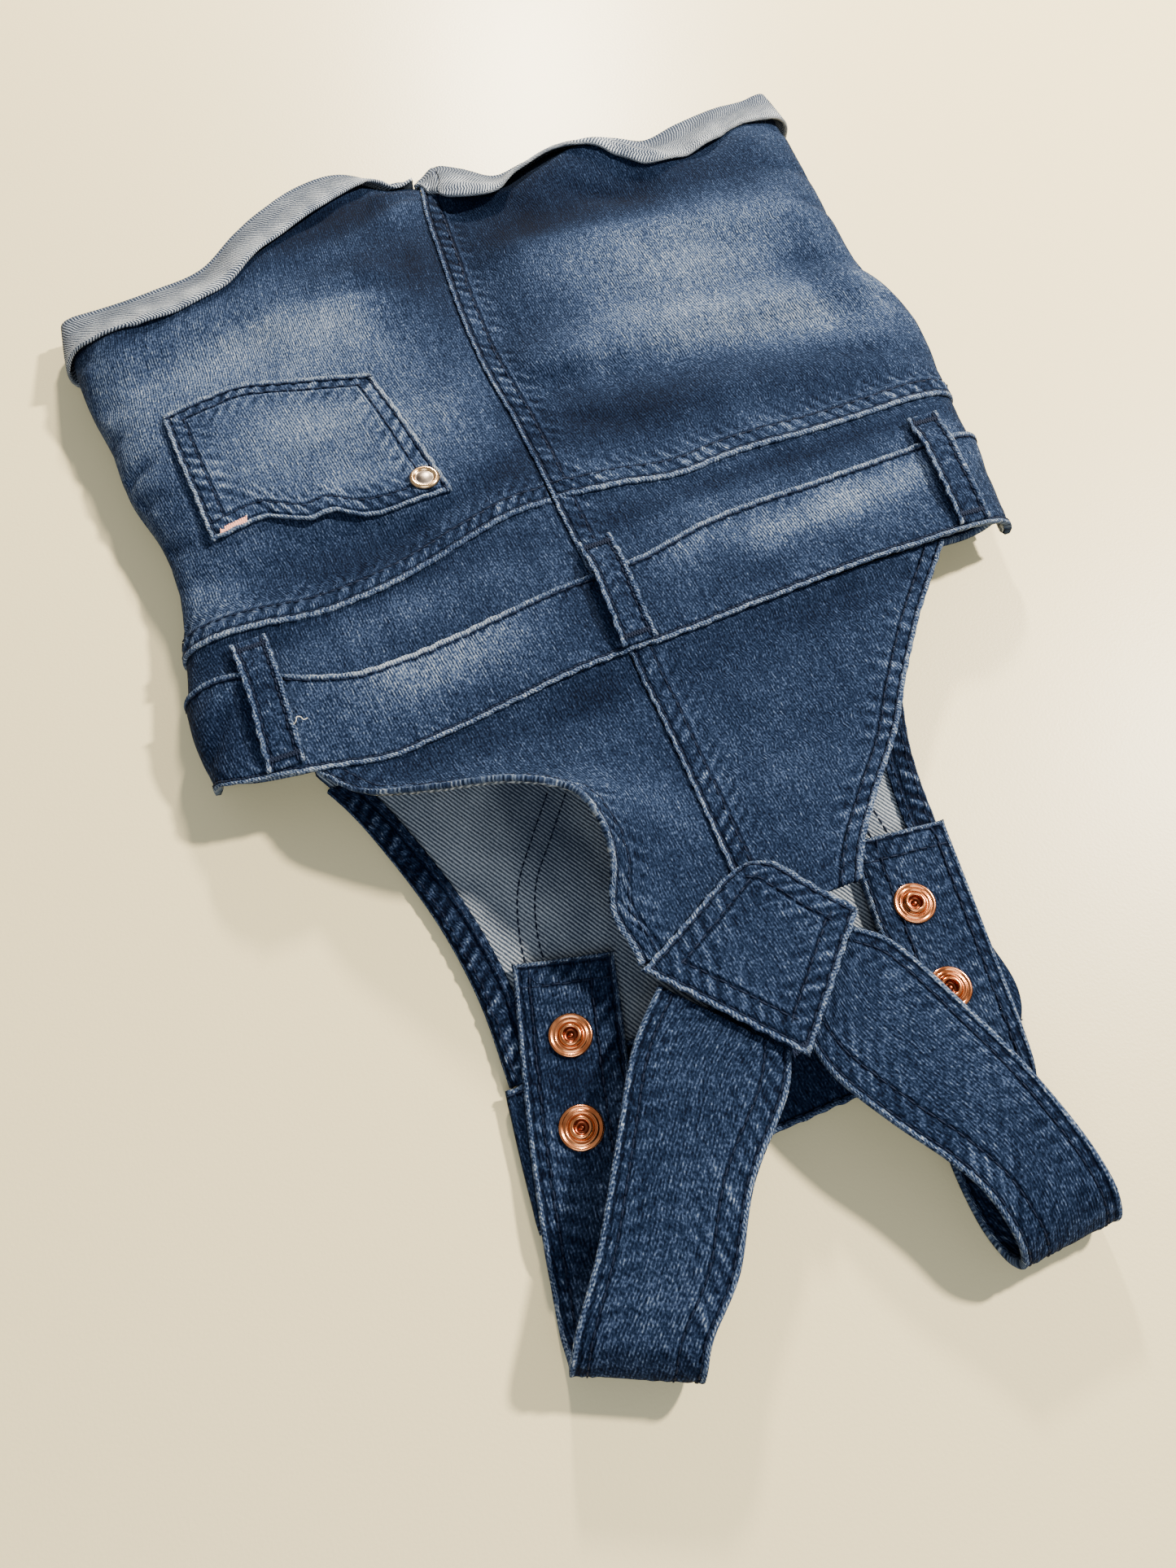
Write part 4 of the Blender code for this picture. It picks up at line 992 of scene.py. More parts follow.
# ================================================================ yoke
# Two panels of the same denim between the seat and the waistband. They run under the folded
# edge of the seat, which is sewn down on them with two rows.
Waist = namedtuple("Waist", "x bib_edge seat_edge")
WAIST_BACK = [
    Waist(-132, -10, 18),
    Waist(-120, -17.5, 18),
    Waist(-108, -20.5, 15),
    Waist(-95, -23, 8.5),
    Waist(-80, -26, 4),
    Waist(-62, -25, 4),
    Waist(-42, -22.5, 6),
    Waist(-15, -20, 9),
    Waist(10, -20, 10),
    Waist(35, -19, 14.5),
    Waist(75, -18, 15.5),
    Waist(110, -19, 16),
    Waist(134, -19, 17),
]
YOKE_CREASES = [
    Crease(18, 31, 76, 28, 3.0, 3.5, -0.8),
    Crease(66, 30, 132, 25, 3.5, 3.0, -0.6),
    Crease(-122, 24, -88, 21, 3.0, 3.0, -0.8),
    Crease(-84, 14, -52, 20, 4.0, 4.0, 0.5),
    Crease(-40, 26, -16, 30, 4.0, 3.0, -0.6),
    Crease(94, 22, 112, 30, 2.5, 2.5, 0.4),
]
# pale and dark areas of the wash, and painted shade along the yoke just under the seat's folded edge
YOKE_FADES_AND_SHADE = [
    Fade(-60, 19, 34, 6, 4, 0.14),
    Fade(-112, 24, 14, 6, 0, -0.14),
    # the next two: painted shade under the seat's folded edge
    Fade(-72, 29, 46, 4, 4, -0.28),
    Fade(66, 27, 60, 4, 0, -0.34),
    Fade(98, 26, 22, 5, 0, -0.08),
    Fade(118, 22, 12, 5, 0, 0.30),
    Fade(42, 20, 26, 6, 0, 0.22),
    Fade(12, 24, 12, 10, 0, -0.22),
]
STEPS_YOKE = np.linspace(0, 1, 34)


def make_yoke(side):
    name = SIDE_NAMES[side]
    low = lambda x: seam_line(WAIST_BACK, "seat_edge", x) - 1.2
    high = lambda x: seam_line(YOKE_SEAM, "y", x) + 1.4
    grid = body_panel(side, STEPS_ROUND, low, high, STEPS_YOKE)
    x, y = grid[..., 0], grid[..., 1]
    relief = crease_height(YOKE_CREASES, x, y) + 0.16 * waves(x, y, 34, 5)
    seams = {"first column": FELL_WIDTH} if side == LEFT else {}
    grid, marks = work_seams(push(grid, relief), seams, 21 + side)
    under = from_edges(grid)["last row"][0]
    bottom = ripple(grid[..., 0], 4.6, 11 + side) * np.exp(-(under - 2) / 3.5) * 0.25
    grid = push(grid, bottom - 0.25 * (1 - ease(under, 1.5, 4)))
    marks["wear_and_shade"] += fade_and_shade_sum(YOKE_FADES_AND_SHADE, x, y) + 0.18 * relief + 0.4 * bottom - 0.06
    finishes = (BACK_DENIM, PLAIN_REVERSE)
    piece = make_shell("yoke_shell_" + name, grid, DENIM, finishes, marks, cut_places(grid, side))
    extra = []
    if side == LEFT:
        extra.append(sew("yoke_stitches_" + name, felled_rows(grid, "first column", 1.5)))
    lay(piece, "yoke_" + name, extra)


for side in (RIGHT, LEFT):
    make_yoke(side)

# ================================================================ fronts of the legs
# Two panels of the same denim, whose outer face lies on the table. They are joined to the
# back at the sides, and to each other by a felled seam down the middle.
WAIST_FRONT = [
    Waist(-132, -6, 18),
    Waist(-112, -10, 15),
    Waist(0, -13, 13),
    Waist(112, -11, 14),
    Waist(134, -13, 17),
]
FRONT_CREASES = [
    Crease(-118, 150, -40, 158, 8, 5, 1.3),
    Crease(-104, 96, -30, 112, 12, 8, 1.0),
    Crease(-112, 44, -50, 38, 9, 6, 0.9),
    Crease(16, 150, 96, 140, 9, 6, 1.3),
    Crease(24, 92, 120, 84, 10, 6, 1.2),
    Crease(40, 44, 116, 40, 8, 6, 0.9),
]
FRONT_FLAT_FROM = 1 + SIDE_SHARE
FRONT_FLAT_TO = 2 - INNER_SHARE
STEPS_ROUND_FRONT = np.concatenate([
    np.linspace(1.0005, FRONT_FLAT_FROM, 22),       # just past the side seam
    np.linspace(FRONT_FLAT_FROM, FRONT_FLAT_TO, 50)[1:],
    np.linspace(FRONT_FLAT_TO, 2, 16)[1:],
])
STEPS_FRONT = np.linspace(0, 1, 90)


def make_front(side):
    name = SIDE_NAMES[side]
    low = lambda x: seam_line(WAIST_FRONT, "seat_edge", x) - 1.0
    high = lambda x: hem_y(side, x, True)
    grid = body_panel(side, STEPS_ROUND_FRONT, low, high, STEPS_FRONT)
    x, y = grid[..., 0], grid[..., 1]
    inside = ease(from_edges(grid)["first column"][0], 14, 26) * ease(high(x) - y, 24, 40)
    relief = crease_height(FRONT_CREASES, x, y) * inside
    grid = grid + np.array([0, 0, 1.0]) * relief[..., None]
    marks = work_seams(grid, {"last column": FELL_WIDTH}, 31 + side)[1]
    marks["wear_and_shade"] += fade_and_shade_sum(SEAT_FADES_AND_SHADE, x, y) * 0.8
    finishes = (BACK_DENIM, PLAIN_REVERSE)
    cut = cut_places(grid[:, ::-1], side)[:, ::-1]
    piece = make_shell("front_shell_" + name, grid, DENIM, finishes, marks, cut, face_up=False)
    lay(piece, "front_" + name)


for side in (RIGHT, LEFT):
    make_front(side)

# ================================================================ cuffs
# The hem of each leg is turned up once to the outside, so that the grey reverse of the denim
# shows. The cuffs are pressed at the fold, and their free rims stand a little off the legs.
CUFF_WIDTH_INSEAM = 6.0
CUFF_GAP = 0.6
GAP = 0.3
STEPS_CUFF = np.concatenate([
    np.linspace(0, INNER_SHARE, 34)[:-1],
    np.linspace(INNER_SHARE, 1 - SIDE_SHARE, 90)[:-1],
    np.linspace(1 - SIDE_SHARE, 1, 30),
    np.linspace(1, FRONT_FLAT_FROM, 26)[1:-1],
    np.linspace(FRONT_FLAT_FROM, FRONT_FLAT_TO, 40)[:-1],
    np.linspace(FRONT_FLAT_TO, 2, 24)[:-1],
])
CUFF_FOLD_RING = 5      # the first ring of the outer layer
CUFF_STEPS_OUT = 26     # from the fold to the rim, on the outer layer
CUFF_STEPS_BACK = 14    # and back again inside it
CUFF_REVERSE = make_reverse("denim_reverse_cuff", 0.25, 1.05, 1.0, 0.13)


def body_normal(side, t, y, step=0.05):
    low = np.maximum(t - 0.004, np.where(t > 1, 1.000001, 0.0))
    high = np.minimum(t + 0.004, np.where(t <= 1, 1.0, 2.0))
    round_way = body_face(side, high, y, step) - body_face(side, low, y, step)
    long_way = body_face(side, t, y + 0.5, step) - body_face(side, t, y - 0.5, step)
    normal = np.cross(round_way, long_way) * side
    return normal / np.linalg.norm(normal, axis=-1, keepdims=True)


def cuff_rings(side):
    """Rings of points round the leg, from its cut end out over the fold to the rim, and back."""
    table = CUFF_BACK[side]
    t = STEPS_CUFF
    fold_y = table[0].fold_y
    for _ in range(2):
        x = body_face(side, t, fold_y)[..., 0]
        fold_y = hem_y(side, x, t > 1) + CUFF_TURN
    reach = np.where((t > 1) | (side == RIGHT), INNER_SHARE + 0.1, 0.03)
    inseam = 1 - ease(np.minimum(t, 2 - t) / reach, 0.0, 1.0)
    front = ease(t, 1.0, 1.2)
    width = blend(fold_y - seam_line(table, "rim_y", x), CUFF_WIDTH_FRONT, front)
    width = blend(width, CUFF_WIDTH_INSEAM, inseam)
    rim_y = fold_y - width
    stand = seam_line(table, "rim_z", x) - body_face(side, np.minimum(t, 1.0), rim_y)[..., 2]
    stand = blend(np.maximum(stand - DENIM, CUFF_GAP), 2.0, ease(t, 0.80, 0.97))
    stand = blend(stand, GAP, front)
    stand = blend(stand, GAP, inseam * ease(t, 0.0, 0.1))
    fold_gap = blend(CUFF_GAP, GAP, ease(t, 1.0, 1.15))
    end_y = fold_y - CUFF_TURN
    profile = [(end_y, -DENIM), (fold_y - 0.55, 0.1 - DENIM), (fold_y - 0.1, 0.5 - DENIM),
               (fold_y, fold_gap), (fold_y - 0.25, fold_gap + DENIM * 0.62),
               (fold_y - 0.8, fold_gap + DENIM)]
    wrinkle = 0.35 * ripple(x + 30 * (t > 1), 26, 41 + side) * (1 - front)

    def between(share, lift):
        rise = blend(fold_gap, stand, share ** 0.8) + wrinkle * share
        return blend(fold_y - 0.8, rim_y, share), rise + lift

    profile += [between(share, DENIM) for share in np.linspace(0.06, 1, CUFF_STEPS_OUT)]
    profile.append((rim_y - 0.35, stand + DENIM * 0.5 + wrinkle))
    profile += [between(share, 0.0) for share in np.linspace(1, 0.06, CUFF_STEPS_BACK)]
    profile.append((end_y + 0.3, fold_gap))
    rings = []
    for y, rise in profile:
        rise = np.broadcast_to(rise, t.shape)[:, None]
        face = body_face(side, t, y) + body_normal(side, t, y) * rise
        face[:, 2] = np.maximum(face[:, 2], 0.0)
        rings.append(face)
    return np.array(rings)


def make_cuff(side):
    name = SIDE_NAMES[side]
    rings = cuff_rings(side)
    here = np.arange(rings.shape[0] * rings.shape[1]).reshape(rings.shape[:2])
    on = np.roll(here, -1, axis=1)
    up = np.roll(here, -1, axis=0)
    faces = np.stack([here, on, np.roll(up, -1, axis=1), up], axis=2).reshape(-1, 4)
    if side == RIGHT:
        faces = faces[:, ::-1]
    around = lengths(rings, 1)
    along = lengths(rings, 0)
    cut = np.stack([around * side, along], axis=2)
    shown = slice(CUFF_FOLD_RING, CUFF_FOLD_RING + CUFF_STEPS_OUT + 2)
    past_fold = np.arange(len(rings)) - CUFF_FOLD_RING
    place = np.clip(past_fold / CUFF_STEPS_OUT, 0, 1)[:, None] + 0 * around
    pale = 0.30 * ease(place, 0.3, 0.95) - 0.09 + 0.05 * waves(rings[..., 0], rings[..., 1], 30, 43)
    pale = pale + 0.10 * ripple(rings[..., 0], 9.0, 44 + side) * place
    piece = cloth_mesh("cuff_shell_" + name, rings.reshape(-1, 3), faces.tolist(), (CUFF_REVERSE,),
                       np.zeros(len(faces)), cut.reshape(-1, 2), {"pale": pale.ravel()})
    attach(piece, "root")
    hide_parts("cuff_" + name)


for side in (RIGHT, LEFT):
    make_cuff(side)

# ================================================================ waistband
# A band of two layers of denim round the waist, folded and sewn over the yoke and the bib
# along both of its edges. The back half lies on top, and the front half on the table.
BAND = 2.4
BAND_CREASES = [
    Crease(-78, -2, -66, 1, 3.0, 4.0, 0.7),
    Crease(-52, -12, -34, -8, 3.5, 3.5, -0.4),
    Crease(22, 6, 34, 13, 3.0, 3.0, 0.5),
    Crease(36, -10, 66, -4, 4.0, 4.0, -0.5),
    Crease(70, 3, 106, 6, 4.5, 4.0, 0.5),
    Crease(-130, -8, -119, 6, 2.2, 2.4, -1.9),
    Crease(-128, 8, -117, 12, 2.0, 2.5, 0.8),
    Crease(122, -4, 132, 6, 2.5, 2.5, -0.6),
    Crease(-96, -8, -86, 2, 3.0, 3.0, -0.5),
]
BAND_FADES = [
    Fade(-60, -2, 26, 10, 5, 0.60),
    Fade(-60, 9, 28, 5, 8, 0.38),
    Fade(-40, 1, 11, 8, 0, 0.18),
    Fade(-50, -15, 10, 4, 0, -0.20),
    Fade(-2, 8, 13, 5, 0, -0.34),
    Fade(34, 0, 8, 6, 0, -0.30),
    Fade(76, 5, 46, 8, 2, 0.60),
    Fade(28, 8, 14, 3, 12, 0.26),
    Fade(40, -10, 30, 5, 4, -0.10),
    Fade(-14, -6, 14, 12, 0, -0.30),
    Fade(10, -6, 12, 12, 0, -0.20),
    Fade(-122, 2, 10, 14, 0, -0.22),
    Fade(124, 0, 8, 14, 0, -0.10),
]
STEPS_BAND = np.concatenate([
    np.linspace(0, 0.11, 8),
    np.linspace(0.11, 0.89, 26)[1:],
    np.linspace(0.89, 1, 8)[1:],
])
BAND_SEAM_STEP = 2.5    # the band smooths out the step of the centre seam under it
BAND_DENIM = make_denim("denim_waistband", 0.0, 0.90)


def band_grid(table, stations, lift, shares):
    low = lambda x: seam_line(table, "bib_edge", x)
    high = lambda x: seam_line(table, "seat_edge", x)
    halves = []
    for side in (RIGHT, LEFT):
        y = body_panel(side, stations, low, high, shares)[..., 1]
        where = (side, np.broadcast_to(stations[None, :], y.shape), y, BAND_SEAM_STEP)
        halves.append(body_face(*where) + body_normal(*where) * lift)
    right, left = halves
    return np.concatenate([right, left[:, ::-1][:, 1:]], axis=1)


def make_band_back():
    grid = band_grid(WAIST_BACK, STEPS_ROUND[::-1], DENIM, STEPS_BAND)
    x, y = grid[..., 0], grid[..., 1]
    relief = crease_height(BAND_CREASES, x, y) + 0.22 * waves(x, y, 30, 6) + 0.10 * waves(x, y, 11, 7)
    seams = {"first row": 0, "last row": 0}
    grid, marks = work_seams(push(grid, relief), seams, 51, stand=0.25)
    marks["wear_and_shade"] += fade_and_shade_sum(BAND_FADES, x, y) + 0.2 * relief
    finishes = (BAND_DENIM, PLAIN_REVERSE)
    cut = np.stack([x, y], axis=2)
    piece = make_shell("waistband_shell_back", grid, BAND, finishes, marks, cut)
    seat_row = inset(grid, "last row", FIRST_ROW, 2.0)
    bib_row = inset(grid, "first row", FIRST_ROW, 2.0)
    stitches = [
        sew("waistband_stitches_seat", [seat_row]),
        sew("waistband_stitches_bib", [bib_row], pitch=1.5, length=1.6, width=0.75),
    ]
    lay(piece, "waistband_back", stitches)


def make_band_front():
    grid = band_grid(WAIST_FRONT, STEPS_ROUND_FRONT, 0.0, np.linspace(0, 1, 30))
    marks = work_seams(grid, {"first row": 0, "last row": 0}, 52)[1]
    finishes = (BAND_DENIM, BAND_DENIM)
    cut = grid[..., :2]
    piece = make_shell("waistband_shell_front", grid, BAND, finishes, marks, cut, face_up=False)
    lay(piece, "waistband_front")


make_band_front()
make_band_back()

# ================================================================ belt loops
# Three strips of folded denim over the waistband, with two rows of stitches along each. Both
# ends are turned under and held by bar tacks of dark thread.
LOOP = 1.5
LOOP_WIDTH = 11.5
BeltLoop = namedtuple("BeltLoop", "name top_x top_y end_x end_y")
BELT_LOOPS = [
    BeltLoop("belt_loop_right", -106.9, 26, -107.2, -18.5),
    BeltLoop("belt_loop_centre", -0.3, 20.5, -0.6, -19),
    BeltLoop("belt_loop_left", 116.6, 26, 112.2, -17.5),
]
LOOP_RISES = [          # share of a loop's length, and its underside above the cloth there
    (0, 0.4), (0.10, 0.6), (0.26, 2.4), (0.5, 2.9), (0.8, 2.5), (0.93, 1.7), (1, 1.5),
]
LOOP_DENIM = make_denim("denim_belt_loop", -0.05, 0.95)


def cloth_height(x, y):
    """Outer face of the back cloth with its rolled sides, for pieces that lie on it."""
    side = np.where(x > centre_x(y), LEFT, RIGHT)
    edge = np.where(side == LEFT, side_x(LEFT, y), side_x(RIGHT, y))
    roll = np.where(side == LEFT, roll_width(LEFT, y), roll_width(RIGHT, y))
    into_roll = np.clip(1 - (edge - x) * side / roll, 0, 1)
    return SIDE_Z + (back_height(x, y) - SIDE_Z) * np.sqrt(1 - into_roll ** 2)


def make_bar_tack(name, centre, across, along, thread, turns):
    """Close zigzag of thread, from one end of the tack to the other."""
    steps = np.linspace(-0.5, 0.5, turns * 2)[:, None]
    sway = np.where(np.arange(turns * 2) % 2, 0.5, -0.5)[:, None]
    path = centre + steps * np.asarray(across, float) + sway * np.array(along) + (0, 0, 0.3)
    return sew(name, [path], pitch=0.42, length=0.75, width=0.5, thread=thread)


def line_through(points, share):
    """Smooth curve through a few points, at shares of its length."""
    points = np.array(points, float)
    run = run_along(points)
    at = np.asarray(share) * run[-1]
    return np.stack([smooth(at, run, points[:, axis]) for axis in range(points.shape[1])], axis=-1)


def make_loose_thread(grid):
    """End of pale thread that has worked loose from the lower part of a belt loop."""
    start = grid[-15, -2]
    curl = [(0, 0, 0), (0.9, 0.5, 0.5), (1.5, 1.5, 0.7), (2.4, 1.3, 0.5), (3.0, 0.3, 0.2),
            (4.0, 0.4, 0.1)]
    path = start + line_through(curl, np.linspace(0, 1, 40))
    pale = make_thread("pale_thread", (0.40, 0.38, 0.33))
    return sew("loose_thread", [path], pitch=0.2, length=0.4, width=0.3, thread=pale)


def make_belt_loop(loop, seed):
    share = np.linspace(0, 1, 58)[:, None]
    part = np.linspace(-0.5, 0.5, 26)[None, :]
    rise = smooth(share, [row[0] for row in LOOP_RISES], [row[1] for row in LOOP_RISES])
    bow = 0.6 * np.sin(share * math.pi * 1.3 + seed)
    width = LOOP_WIDTH * (1 - 0.05 * np.sin(share * math.pi))
    middle_x = blend(loop.top_x, loop.end_x, share) + 0 * part
    x = middle_x + part * width + bow
    y = blend(loop.top_y, loop.end_y, share) + 0 * part
    on_seam = SEAM_RAISE if loop.name == "belt_loop_centre" else 0.0
    middle = cloth_height(middle_x, y)
    z = blend(middle, cloth_height(x, y), 0.75) + on_seam + rise + LOOP
    grid = np.stack([x, y, z], axis=2)
    grid, marks = work_seams(grid, {"first column": 0, "last column": 0}, 60 + seed, stand=0.25)
    ends = np.minimum(from_edges(grid)["first row"][0], from_edges(grid)["last row"][0])
    grid = push(grid, -0.35 * np.exp(-((ends - 3.2) / 1.1) ** 2))
    marks["wear_and_shade"] += 0.22 * ripple(marks["run"] + marks["edge"], 6.0, 70 + seed)
    marks["wear_and_shade"] += 0.3 * np.exp(-(ends / 1.2) ** 2) - 0.08
    cut = np.stack([x, y], axis=2)
    piece = make_shell(loop.name + "_strip", grid, LOOP, (LOOP_DENIM, LOOP_DENIM), marks, cut)
    rows = [inset(grid, edge, 2.3, 1.5) for edge in ("first column", "last column")]
    extra = [sew(loop.name + "_stitches", rows, pitch=2.4, length=2.1)]
    for end, row in (("top", 4), ("bottom", -5)):
        name = loop.name + "_tack_" + end
        centre = grid[row, grid.shape[1] // 2]
        across = grid[row, -4] - grid[row, 3]
        extra.append(make_bar_tack(name, centre, across, (0, 1.5, 0), NAVY_THREAD, turns=11))
    if loop.name == "belt_loop_right":
        extra.append(make_loose_thread(grid))
    lay(piece, loop.name, extra)


for seed, loop in enumerate(BELT_LOOPS):
    make_belt_loop(loop, seed)

# ================================================================ back pocket
# One patch pocket on the right seat, washed pale, sewn down along its sides and its bottom
# with two rows. Its opening faces the waistband, and a pink tack holds one corner of it.
POCKET_LEFT = [(-107.8, 64.2), (-108.6, 82), (-109.6, 100), (-110, 117.5)]
POCKET_RIGHT = [(-32.8, 54.5), (-35.0, 70), (-39.0, 92), (-42, 109)]
POCKET_OPENING = [(-107.8, 64.2), (-102.5, 64.4), (-96, 65.8), (-90, 66.2), (-84, 63.2), (-77, 59.6),
                  (-70, 60.0), (-62, 55.8), (-53, 53.8), (-43, 53.6), (-32.8, 54.5)]
POCKET_BOTTOM = [(-110, 117.5), (-96, 119.6), (-84, 121.2), (-79, 120.2), (-60, 114.2), (-42, 109)]
POCKET_FADES = [
    Fade(-72, 95, 34, 19, 6, 0.62),
    Fade(-50, 80, 14, 18, 0, 0.16),
    Fade(-62, 70, 28, 8, -8, 0.34),
    Fade(-76, 117, 36, 4, 0, -0.10),
]
POCKET_DENIM = make_denim("denim_pocket", 0.03, 0.80)


def span_grid(first_row, last_row, first_column, last_column, rows, across):
    """Fills four edges with a grid of places in plan."""
    v = np.linspace(0, 1, rows)
    u = np.linspace(0, 1, across)
    top = line_through(first_row, u)[None]
    bottom = line_through(last_row, u)[None]
    left = line_through(first_column, v)[:, None]
    right = line_through(last_column, v)[:, None]
    v = v[:, None, None]
    u = u[None, :, None]
    corners = (1 - v) * ((1 - u) * top[:, :1] + u * top[:, -1:])
    corners = corners + v * ((1 - u) * bottom[:, :1] + u * bottom[:, -1:])
    return (1 - v) * top + v * bottom + (1 - u) * left + u * right - corners


def faces_below(pieces):
    """Search tree over pieces, for finding the cloth under a place."""
    points = []
    faces = []
    for piece in pieces:
        first = len(points)
        points += [vertex.co for vertex in piece.data.vertices]
        faces += [[first + k for k in face.vertices] for face in piece.data.polygons]
    return BVHTree.FromPolygons(points, faces)


def drop_on(tree, x, y, missed):
    """Height in millimetres of what lies under each place, or the height in missed."""
    flat = to_frame(np.stack([x, y, 0 * x], axis=-1))
    heights = []
    for place, otherwise in zip(flat, np.broadcast_to(missed, x.shape).ravel()):
        hit = tree.ray_cast(Vector((place[0], place[1], 0.2)), Vector((0, 0, -1)))[0]
        heights.append(otherwise if hit is None else hit.z / MM)
    return np.array(heights).reshape(x.shape)


SEAT_TREE = faces_below(SEATS)


def make_pocket():
    plan = span_grid(POCKET_OPENING, POCKET_BOTTOM, POCKET_LEFT, POCKET_RIGHT, 84, 96)
    x, y = plan[..., 0], plan[..., 1]
    seat_z = drop_on(SEAT_TREE, x, y, cloth_height(x, y))
    opening = np.exp(-((y - plan[:1, :, 1]) / 7.0) ** 2)
    gape = 1.6 * opening * (0.5 + 0.5 * np.sin(x / 6.0 + 1.0)) * np.exp(-((x + 74) / 28) ** 2)
    sag = np.maximum(0.5 * waves(x, y, 36, 8), -0.05)
    z = seat_z + DENIM + 0.15 + gape + sag
    grid = np.stack([x, y, z], axis=2)
    seams = {"first row": 8, "last row": 6.6, "first column": 7.6, "last column": 7.6}
    grid, marks = work_seams(grid, seams, 81, stand=0.1)
    marks["wear_and_shade"] += fade_and_shade_sum(POCKET_FADES, x, y)
    finishes = (POCKET_DENIM, PLAIN_REVERSE)
    piece = make_shell("pocket_shell", grid, DENIM + 0.25, finishes, marks, plan)
    rows = []
    for edge, far_row in (("last row", 5.7), ("first column", 6.7), ("last column", 6.7)):
        rows += [inset(grid, edge, FIRST_ROW, 1.6), inset(grid, edge, far_row, 7.0)]
    rows.append(inset(grid, "first row", 7.1, 2.0))
    extra = [sew("pocket_stitches", rows)]
    pink = make_thread("pink_thread", (0.62, 0.27, 0.20))
    corner = grid[3, 4:16]
    across = corner[-1] - corner[0]
    extra.append(make_bar_tack("pocket_tack", corner[6], across, (0.2, 2.2, 0), pink, turns=13))
    lay(piece, "back_pocket", extra)
    return piece


POCKET = make_pocket()

# ================================================================ pocket rivet
# A pressed copper rivet at the pocket's other corner: a rolled ring round a bright centre,
# closed through both layers of the cloth.
def make_metal(name, dull, bright, rough_low):
    made, tree, shader = start_material(name)
    tarnish = object_noise(tree, 260.0)
    join(tree, shader, {
        "Base Color": colour_ramp(tree, tarnish, [(0.3, dull), (0.6, bright)]),
        "Roughness": calc(tree, "MULTIPLY_ADD", tarnish, 0.16, rough_low),
        "Normal": bumped(tree, object_noise(tree, 900.0), 0.02 * MM),
        "Metallic": 1.0,
    })
    return made


COPPER = make_metal("copper_polished", (0.52, 0.15, 0.05), (0.80, 0.30, 0.12), 0.12)
ROSE_GOLD = make_metal("rose_gold", (0.62, 0.33, 0.14), (0.86, 0.55, 0.29), 0.12)
BRIGHT_CENTRE = make_metal("rivet_centre", (0.13, 0.10, 0.08), (0.30, 0.24, 0.20), 0.28)
SPIN_STEPS = 72
RIVET_PROFILE = [       # radius and height, from the axis below to the axis above
    (0, -0.2), (4.5, -0.2), (4.75, 0.2), (4.7, 0.7), (4.35, 1.15), (3.8, 1.3), (3.3, 1.15),
    (3.0, 0.8), (2.85, 0.65), (2.6, 0.7), (1.8, 1.05), (0.9, 1.2), (0, 1.25),
]


def spin(name, centre, profile, finishes, from_ring, tilt=(0.0, 0.0), turn=0.0):
    """A turned metal piece about an upright axis; the second finish starts at from_ring."""
    points = [np.add(centre, (0, 0, profile[0][1]))]
    for radius, height in profile[1:-1]:
        for k in range(SPIN_STEPS):
            angle = 2 * math.pi * k / SPIN_STEPS + turn
            dx = radius * math.cos(angle)
            dy = radius * math.sin(angle)
            points.append(np.add(centre, (dx, dy, height + tilt[0] * dx + tilt[1] * dy)))
    points.append(np.add(centre, (0, 0, profile[-1][1])))
    last = 1 + (len(profile) - 3) * SPIN_STEPS
    faces = []
    finish_of_face = []
    for k in range(SPIN_STEPS):
        after = (k + 1) % SPIN_STEPS
        faces.append([0, 1 + after, 1 + k])
        finish_of_face.append(0)
        for ring in range(len(profile) - 3):
            a = 1 + ring * SPIN_STEPS
            b = a + SPIN_STEPS
            faces.append([a + k, a + after, b + after, b + k])
            finish_of_face.append(int(ring >= from_ring))
        faces.append([last + k, last + after, len(points) - 1])
        finish_of_face.append(1)
    return into_scene(name, finished_mesh(name, points, faces, finishes, finish_of_face))


def make_rivet():
    x, y = RIVET_PLACE
    low_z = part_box("pocket_rivet")[0].z / MM
    tree = faces_below([POCKET])
    spots = np.array([(x - 3.5, y), (x + 3.5, y), (x, y - 3.5), (x, y + 3.5)])
    z = drop_on(tree, spots[:, 0], spots[:, 1], low_z)
    tilt = ((z[1] - z[0]) / 7, (z[3] - z[2]) / 7)
    centre = (x, y, z.mean() + 0.1)
    rivet = spin("rivet_cap", centre, RIVET_PROFILE, (ROSE_GOLD, BRIGHT_CENTRE), 7, tilt)
    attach(rivet, "root")
    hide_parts("pocket_rivet")


make_rivet()

# ================================================================ back of the bib
# Two panels that rise from the waistband to the shoulder straps, joined by the centre seam.
# Each armhole edge has a turned hem with two rows, and the right one has curled up.
Armhole = namedtuple("Armhole", "y x z")
BACK_ARMHOLE = {
    LEFT: [
        Armhole(-108, 25.5, 17),
        Armhole(-99, 31, 16),
        Armhole(-84.5, 43.5, 15),
        Armhole(-70, 57.5, 15),
        Armhole(-56, 68, 15),
        Armhole(-40, 81, 16),
        Armhole(-18, 102, 18),
    ],
    RIGHT: [
        Armhole(-108, -39.5, 18.5),
        Armhole(-104, -39.5, 19),
        Armhole(-92, -41.5, 24),
        Armhole(-80, -36.5, 30),
        Armhole(-70, -36, 34),
        Armhole(-58, -42, 36),
        Armhole(-51, -54.5, 36),
        Armhole(-43.5, -72, 30),
        Armhole(-36, -88, 24),
        Armhole(-22, -101, 18.5),
    ],
}
BIB_BACK_END = -107.0
BIB_CURL = {RIGHT: 2.2, LEFT: 1.5}
BIB_CREASES = [
    Crease(-34, -54, -8, -78, 6, 4, 0.8),
    Crease(-30, -29, 30, -26, 4, 4, 0.6),
    Crease(14, -40, 46, -34, 5, 5, -0.6),
    Crease(10, -76, 40, -60, 5, 6, 0.5),
    Crease(-70, -30, -40, -34, 5, 5, 0.5),
]
